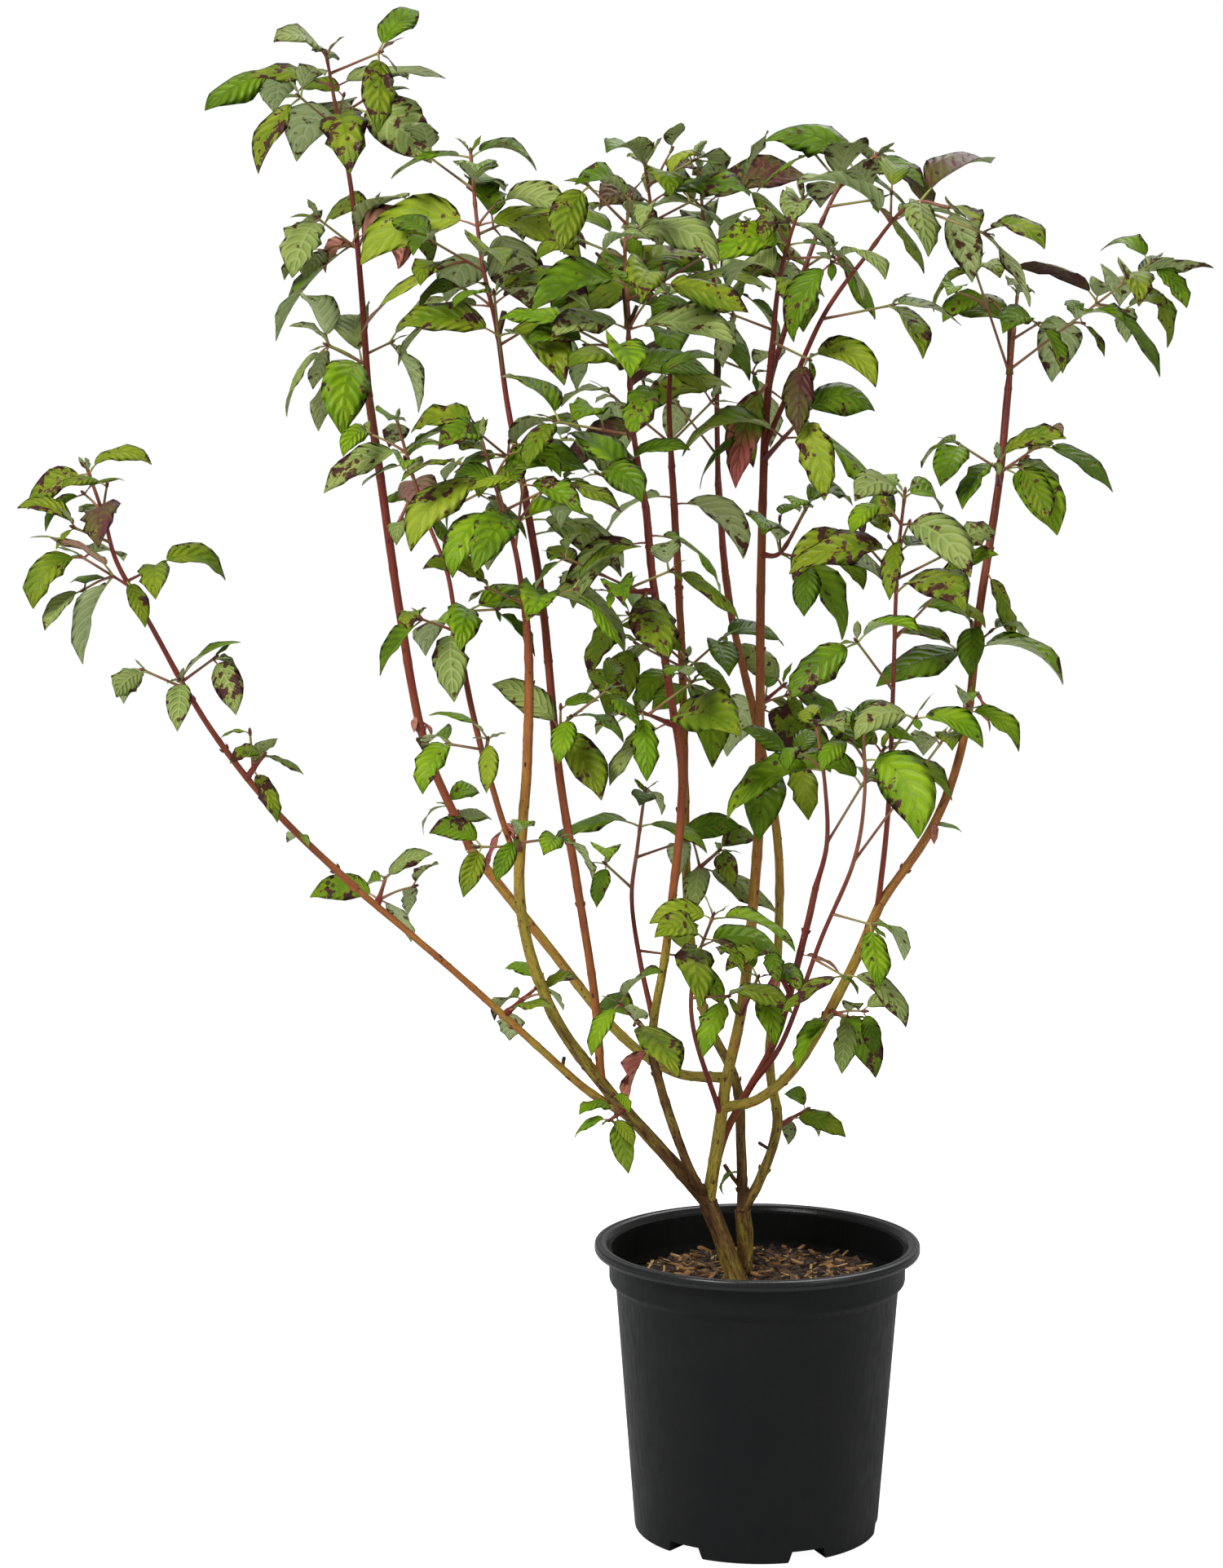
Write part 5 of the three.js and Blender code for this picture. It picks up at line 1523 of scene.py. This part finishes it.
bud_rows = []
for limb, share, turn in bud_points:
    direction = curve_direction(limb["points"], share)
    for half_turn in (0, 180):
        outward = outward_from(direction, turn + half_turn)
        place = curve_point(limb["points"], share) + outward * (radius_at(limb, share) + BUD_OFF)
        bud_rows.append((place + direction, direction + outward * BUD_LEAN, SIDE_BUD))
for crown in crowns:
    for shoot in [shoot for shoot, _ in crown["shoots"]] + crown["twigs"]:
        direction = curve_direction(shoot["points"], 1)
        bud_rows.append((curve_point(shoot["points"], 1) + direction * BUD_SUNK, direction, TIP_BUD))
bud_mesh = new_mesh("buds", [np.array(place) * MM for place, _, _ in bud_rows])
store(bud_mesh, "way", [way for _, way, _ in bud_rows])
store(bud_mesh, "length", [length * MM for _, _, length in bud_rows])
buds = mesh_object("buds", bud_mesh)
bud_skin = plain_material("bud_scale", "#4a2018", "#6b3a28", 3, 0.5, 1.45, 0.5)
run_tree(buds, bud_tree(), {"Bud": bud_skin})
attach(buds, "root")

# %% [markdown]
# ## The pot
#
# The pot is injection-moulded black polypropylene: a thin wall with a stepped collar, a rolled lip with
# fine grooves, and six feet parted by drainage channels. A moulded pot is a shape of turning, so its
# section is turned round once, and the channels are cut out of its foot with a Boolean.

# %% Turn the pot and cut its channels
POT_SECTION = [
    (84.4, 0), (85.5, 0.4), (86.2, 1.2), (86.5, 2.4), (99.9, 175), (100.7, 176.4), (103.7, 179.4),
    (104.3, 180.4), (104.6, 181.8), (104.8, 198.4), (105.6, 199.7), (112.9, 200), (114.3, 200.5),
    (114.9, 201.6), (115, 203), (114.55, 203.3), (114.55, 203.8), (115, 204.1), (114.9, 205.6),
    (114.3, 206.6), (113.2, 207), (111.6, 207), (111.2, 206.5), (110.7, 206.5), (110.3, 207),
    (108.4, 206.9), (107.2, 206.3), (106.4, 205.2), (105.4, 203.4), (103.3, 202.5), (102.8, 201.4),
    (102.3, 182), (101.8, 180.4), (98.8, 177.2), (98.2, 175.6), (84.4, 12.8), (83.4, 12),
]
POT_SEGMENTS = 180
NOTCH = {"count": 6, "first": 22.5, "height": 8.5, "start": 28, "end": 96, "foot": 30, "head": 24}
WEDGE_FACES = [(0, 1, 2, 3), (7, 6, 5, 4), (0, 4, 5, 1), (1, 5, 6, 2), (2, 6, 7, 3), (3, 7, 4, 0)]
CREASE_ANGLE = 32


def turned_mesh(name, section, segments):
    """A closed mesh from a section in millimetres, which starts and ends on the axis."""
    low, high = section[0][1], section[-1][1]
    places = [(0, 0, low * MM), (0, 0, high * MM)]
    faces = []
    for i in range(segments):
        angle = 2 * math.pi * i / segments
        cos, sin = math.cos(angle), math.sin(angle)
        places.extend((r * cos * MM, r * sin * MM, z * MM) for r, z in section)
    count = len(section)
    for i in range(segments):
        here, there = 2 + i * count, 2 + (i + 1) % segments * count
        faces.append((0, there, here))
        faces.extend((here + k, there + k, there + k + 1, here + k + 1) for k in range(count - 1))
        faces.append((1, here + count - 1, there + count - 1))
    return new_mesh(name, places, faces)


def notch_mesh():
    """Six wedges whose widths fall from foot to head, set round the pot's foot."""
    low, high = (NOTCH["foot"] / 2, -1), (NOTCH["head"] / 2, NOTCH["height"])
    corners = [(-low[0], low[1]), low, high, (-high[0], high[1])]
    places, faces = [], []
    for i in range(NOTCH["count"]):
        angle = math.radians(NOTCH["first"] + i * 360 / NOTCH["count"])
        away = np.array([math.sin(angle), -math.cos(angle), 0])
        aside = np.array([math.cos(angle), math.sin(angle), 0])
        start = len(places)
        for reach in (NOTCH["start"], NOTCH["end"]):
            places += [(away * reach + aside * across + [0, 0, height]) * MM for across, height in corners]
        faces += [[start + corner for corner in reversed(face)] for face in WEDGE_FACES]
    return new_mesh("notches", places, faces)


nursery_pot = mesh_object("nursery_pot", turned_mesh("nursery_pot", POT_SECTION, POT_SEGMENTS))
cutter = mesh_object("notches", notch_mesh())
cut = nursery_pot.modifiers.new("channels", "BOOLEAN")
cut.object = cutter
cut.operation = "DIFFERENCE"
cut.solver = "EXACT"
nursery_pot.data = applied_mesh(nursery_pot)
bpy.data.objects.remove(cutter)
nursery_pot.data.shade_smooth()
nursery_pot.data.set_sharp_from_angle(angle=math.radians(CREASE_ANGLE))
print("nursery pot:", len(nursery_pot.data.polygons), "faces")

# %% [markdown]
# ## Pot finish
#
# Polypropylene comes from its mould with a satin skin: black, with soft wide highlights, a trace of
# orange peel and faint scuffs where pots have rubbed together. The base is near black, and noise varies
# the roughness more than the colour, because scuffs show in the gloss first. The rim is the part that
# hands polish, so it is glossier. The inside is matt, and its black is painted darker still, as painted
# shade inside the pot. Three finishes from one function do it.

# %% Pot material
def pot_material(name, dark, dusted, gloss_from, gloss_to, specular, peel_strength):
    material, add = start_material(name)
    place = add("ShaderNodeTexCoord").outputs["Object"]
    dust = add(NOISE, {"Vector": place, "Scale": 1 / (40 * MM), "Detail": 6.0, "Roughness": 0.65})
    dusty = add(MAP_RANGE, (dust.outputs[0], 0.45, 0.75, 0.0, 0.35))
    colour = add(
        MIX, {"Factor_Float": dusty, "A_Color": linear(dark), "B_Color": linear(dusted)}, data_type="RGBA"
    )
    stretched = add(
        "ShaderNodeMapping", {"Vector": place, "Scale": (1 / (3 * MM), 1 / (3 * MM), 1 / (14 * MM))}
    )
    scuffs = add(NOISE, {"Vector": stretched, "Scale": 1.0, "Detail": 5.0})
    gloss = add(MAP_RANGE, (scuffs.outputs[0], 0.3, 0.7, gloss_from, gloss_to))
    peel = add(NOISE, {"Vector": place, "Scale": 1 / (1.5 * MM), "Detail": 3.0})
    bump = add(BUMP, {"Height": peel.outputs[0], "Strength": peel_strength, "Distance": 0.1 * MM})
    return finish_material(material, colour, gloss, 1.49, bump, Specular_IOR_Level=specular)


OUTSIDE = ("moulded_polypropylene", "#161718", "#222120", 0.4, 0.54, 0.12, 0.12)
# The inside is painted darker than the outside plastic, as painted shade inside the pot; its greater
# roughness is real.
INSIDE = ("polypropylene_damp_inside", "#060606", "#12100e", 0.6, 0.75, 0.12, 0.12)
RIM = ("polypropylene_polished_rim", "#161718", "#222120", 0.24, 0.32, 0.34, 0.01)
INSIDE_FOOT, INSIDE_HEAD, RIM_FOOT = 13, 203.5, 199.6
pot_mesh = nursery_pot.data
pot_mesh.materials.clear()
pot_mesh.materials.append(pot_material(*OUTSIDE))
pot_mesh.materials.append(pot_material(*INSIDE))
pot_mesh.materials.append(pot_material(*RIM))
for polygon in pot_mesh.polygons:
    inward = polygon.center.x * polygon.normal.x + polygon.center.y * polygon.normal.y < 0
    height = polygon.center.z / MM
    polygon.material_index = int(inward and INSIDE_FOOT < height < INSIDE_HEAD)
    if height > RIM_FOOT and polygon.material_index == 0:
        polygon.material_index = 2
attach(nursery_pot, "root")
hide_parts("pot")

# %% [markdown]
# ## Mulch
#
# The pot is filled with composted bark: dark crumbs with paler splinters and fibres on top. The mound
# below is a turned body whose top is pushed up and down by noise. The loose chips could be a bump map,
# but they cast shadows and break the line of the mound, so Geometry Nodes scatter real splinters: one
# small block is turned, scaled and then bent by noise once it is in place, so that no two are alike.

# %% Mound
MULCH_TOP = 180
MULCH_EDGE = 176
MULCH_RADIUS = 97.6
MULCH_FOOT = 84
MULCH_FLOOR = 12.4
MULCH_PLATEAU = 35
MULCH_LEAN = 2.2
CHIP_WARP = 1.6


def mound_height(x, y):
    """Height of the mulch: a low mound, a little higher to the right and at the back."""
    slope = (math.hypot(x, y) - MULCH_PLATEAU) / (MULCH_RADIUS - MULCH_PLATEAU)
    fall = (MULCH_TOP - MULCH_EDGE) * min(1, max(0, slope)) ** 1.3
    lean = MULCH_LEAN * (0.6 * x + 0.8 * y) / MULCH_RADIUS
    ripple = 1.1 * math.sin(x * 0.16 + 1.3) * math.sin(y * 0.19) + 0.8 * math.sin(x * 0.41 + y * 0.33)
    return MULCH_TOP - fall + lean + ripple


def mound_mesh(rings=34, segments=120):
    section = [(MULCH_FOOT, MULCH_FLOOR), (MULCH_RADIUS, MULCH_EDGE - 6)]
    section += [(MULCH_RADIUS * (1 - k / rings), MULCH_TOP) for k in range(rings)]
    mesh = turned_mesh("mulch", section, segments)
    for vertex in mesh.vertices:
        if vertex.co.z > (MULCH_EDGE - 1) * MM:
            vertex.co.z = mound_height(vertex.co.x / MM, vertex.co.y / MM) * MM
    mesh.shade_smooth()
    return mesh


# %% Chips
CHIP_LAYERS = [
    ("composted_crumb", "#1c130c", "#32231a", 60000.0, (1.7, 1.3, 1.0), 11),
    ("bark_splinter_brown", "#5a3c1e", "#332011", 15000.0, (5.6, 1.4, 0.7), 23),
    ("bark_splinter_tan", "#a07440", "#6c4c2a", 9500.0, (7.0, 1.6, 0.6), 37),
    ("bark_fibre", "#be9a62", "#86643a", 7000.0, (9.0, 0.8, 0.4), 53),
]
CHIP_REACH = 90


def chip_tree():
    sockets = {"Density": "Float", "Size": "Vector", "Seed": "Int", "Warp": "Float", "Chip": "Material"}
    tree, add, given = start_tree("chip_scatter", sockets)
    normal = add("GeometryNodeInputNormal")
    parts = add("ShaderNodeSeparateXYZ", {"Vector": normal.outputs[0]})
    is_level = add(MATH, (parts.outputs[2], 0.5), operation="GREATER_THAN")
    place = add("GeometryNodeInputPosition")
    from_middle = add(
        VECTOR_MATH, {"Vector": place, "Vector_001": (0.0, 0.0, MULCH_TOP * MM)}, operation="DISTANCE"
    )
    is_inside = add(MATH, (from_middle.outputs["Value"], CHIP_REACH * MM), operation="LESS_THAN")
    is_top = add(MATH, (is_level, is_inside), operation="MULTIPLY")
    points = add(
        "GeometryNodeDistributePointsOnFaces",
        {"Mesh": given["Geometry"], "Selection": is_top, "Density": given["Density"], "Seed": given["Seed"]}
    )
    block = add(
        "GeometryNodeMeshCube",
        {"Size": (2.0, 2.0, 2.0), "Vertices X": 4, "Vertices Y": 2, "Vertices Z": 2}
    )
    turn = add(
        "FunctionNodeRandomValue",
        {"Min": (-0.45, -0.4, 0.0), "Max": (0.45, 0.4, 6.28), "Seed": given["Seed"]},
        data_type="FLOAT_VECTOR"
    )
    spread = add(
        "FunctionNodeRandomValue", {"Min_001": 0.45, "Max_001": 1.35, "Seed": given["Seed"]},
        data_type="FLOAT"
    )
    size = add(VECTOR_MATH, {"Vector": given["Size"], "Scale": spread}, operation="SCALE")
    placed = add(
        "GeometryNodeInstanceOnPoints",
        {"Points": points.outputs["Points"], "Instance": block.outputs["Mesh"], "Rotation": turn,
         "Scale": size}
    )
    real = add("GeometryNodeRealizeInstances", {"Geometry": placed})
    noise = add(NOISE, {"Scale": 1 / (3 * MM), "Detail": 2.0})
    centred = add(
        VECTOR_MATH, {"Vector": noise.outputs["Color"], "Vector_001": (0.5, 0.5, 0.5)},
        operation="SUBTRACT"
    )
    warp = add(VECTOR_MATH, {"Vector": centred, "Scale": given["Warp"]}, operation="SCALE")
    bent = add("GeometryNodeSetPosition", {"Geometry": real, "Offset": warp})
    return close_tree(tree, bent, given["Chip"], smooth=False)


mulch = mesh_object("mulch", mound_mesh())
mulch.data.materials.append(plain_material("bark_compost", "#140d08", "#281a10", 9, 0.9, 1.4, 1.6))
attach(mulch, "root")
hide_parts("soil")
chips = chip_tree()
for name, colour, other, density, size, seed in CHIP_LAYERS:
    layer = mesh_object(name, mulch.data.copy())
    skin = plain_material(name + "_wood", colour, other, 12, 0.8, 1.45, 0.8)
    values = {"Density": density, "Size": tuple(s * MM for s in size), "Seed": seed, "Warp": CHIP_WARP * MM}
    run_tree(layer, chips, {**values, "Chip": skin})
    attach(layer, "root")

# %% [markdown]
# ## Floor and light
#
# The plant was photographed in soft light on white paper, so bright that it has no edge. The sky and the
# floor that the camera sees are white, but they light the plant more dimly, because an even white room
# would wash the colours out. The floor is a disc of paper: it glows for the camera alone, keeps a trace
# of the pot's shadow, and throws lamplight back up under the leaves. One wide lamp at the upper left
# gives the leaves their highlights, and two weaker ones fill in.

# %% Floor
FLOOR_REACH = 3.0
FLOOR_GLOW = 0.95
FLOOR_SIDES = 96
FLOOR_LEVEL = -0.5


def paper_material():
    material, add = start_material("white_paper")
    seen = add("ShaderNodeLightPath").outputs["Is Camera Ray"]
    glow = add(MAP_RANGE, (seen, 0.0, 1.0, 0.0, FLOOR_GLOW))
    return finish_material(
        material, (0.65, 0.65, 0.65, 1.0), 0.9, 1.45, Emission_Color=(1.0, 1.0, 1.0, 1.0),
        Emission_Strength=glow
    )


floor_angles = np.linspace(0, 2 * math.pi, FLOOR_SIDES, endpoint=False)
floor_ring = [
    (FLOOR_REACH * math.cos(a), FLOOR_REACH * math.sin(a), FLOOR_LEVEL * MM) for a in floor_angles
]
floor_mesh = new_mesh("floor", floor_ring, [list(range(len(floor_ring)))])
floor_mesh.materials.append(paper_material())
mesh_object("floor", floor_mesh)

# %% Light
SKY_LIGHT = 0.36
SKY_SEEN = 1.0
AIM = (-0.1, 0.0, 0.6)
LAMPS = {
    "key": ((-1.9, -2.2, 3.0), 1.5, 142),
    "fill": ((2.6, -2.2, 1.8), 2.0, 28),
    "back": ((0.8, 2.6, 3.0), 1.8, 36),
}


def aim_at(thing, place):
    away = np.array(thing.location) - np.array(place)
    level = math.hypot(away[0], away[1])
    thing.rotation_euler = (math.atan2(level, away[2]), 0, math.atan2(away[1], away[0]) + math.pi / 2)


for name, (place, size, power) in LAMPS.items():
    data = bpy.data.lights.new(name, "AREA")
    data.size = size
    data.energy = power
    lamp = bpy.data.objects.new(name, data)
    lamp.location = place
    aim_at(lamp, AIM)
    bpy.context.scene.collection.objects.link(lamp)

world = bpy.data.worlds.new("white_sky")
world.use_nodes = True
world.node_tree.nodes.clear()
path = add_node(world.node_tree, "ShaderNodeLightPath")
strength = add_node(
    world.node_tree, MAP_RANGE, (path.outputs["Is Camera Ray"], 0.0, 1.0, SKY_LIGHT, SKY_SEEN)
)
sky = add_node(
    world.node_tree, "ShaderNodeBackground", {"Color": (1.0, 1.0, 1.0, 1.0), "Strength": strength}
)
add_node(world.node_tree, "ShaderNodeOutputWorld", {"Surface": sky})
bpy.context.scene.world = world
bpy.context.scene.view_settings.view_transform = "Standard"
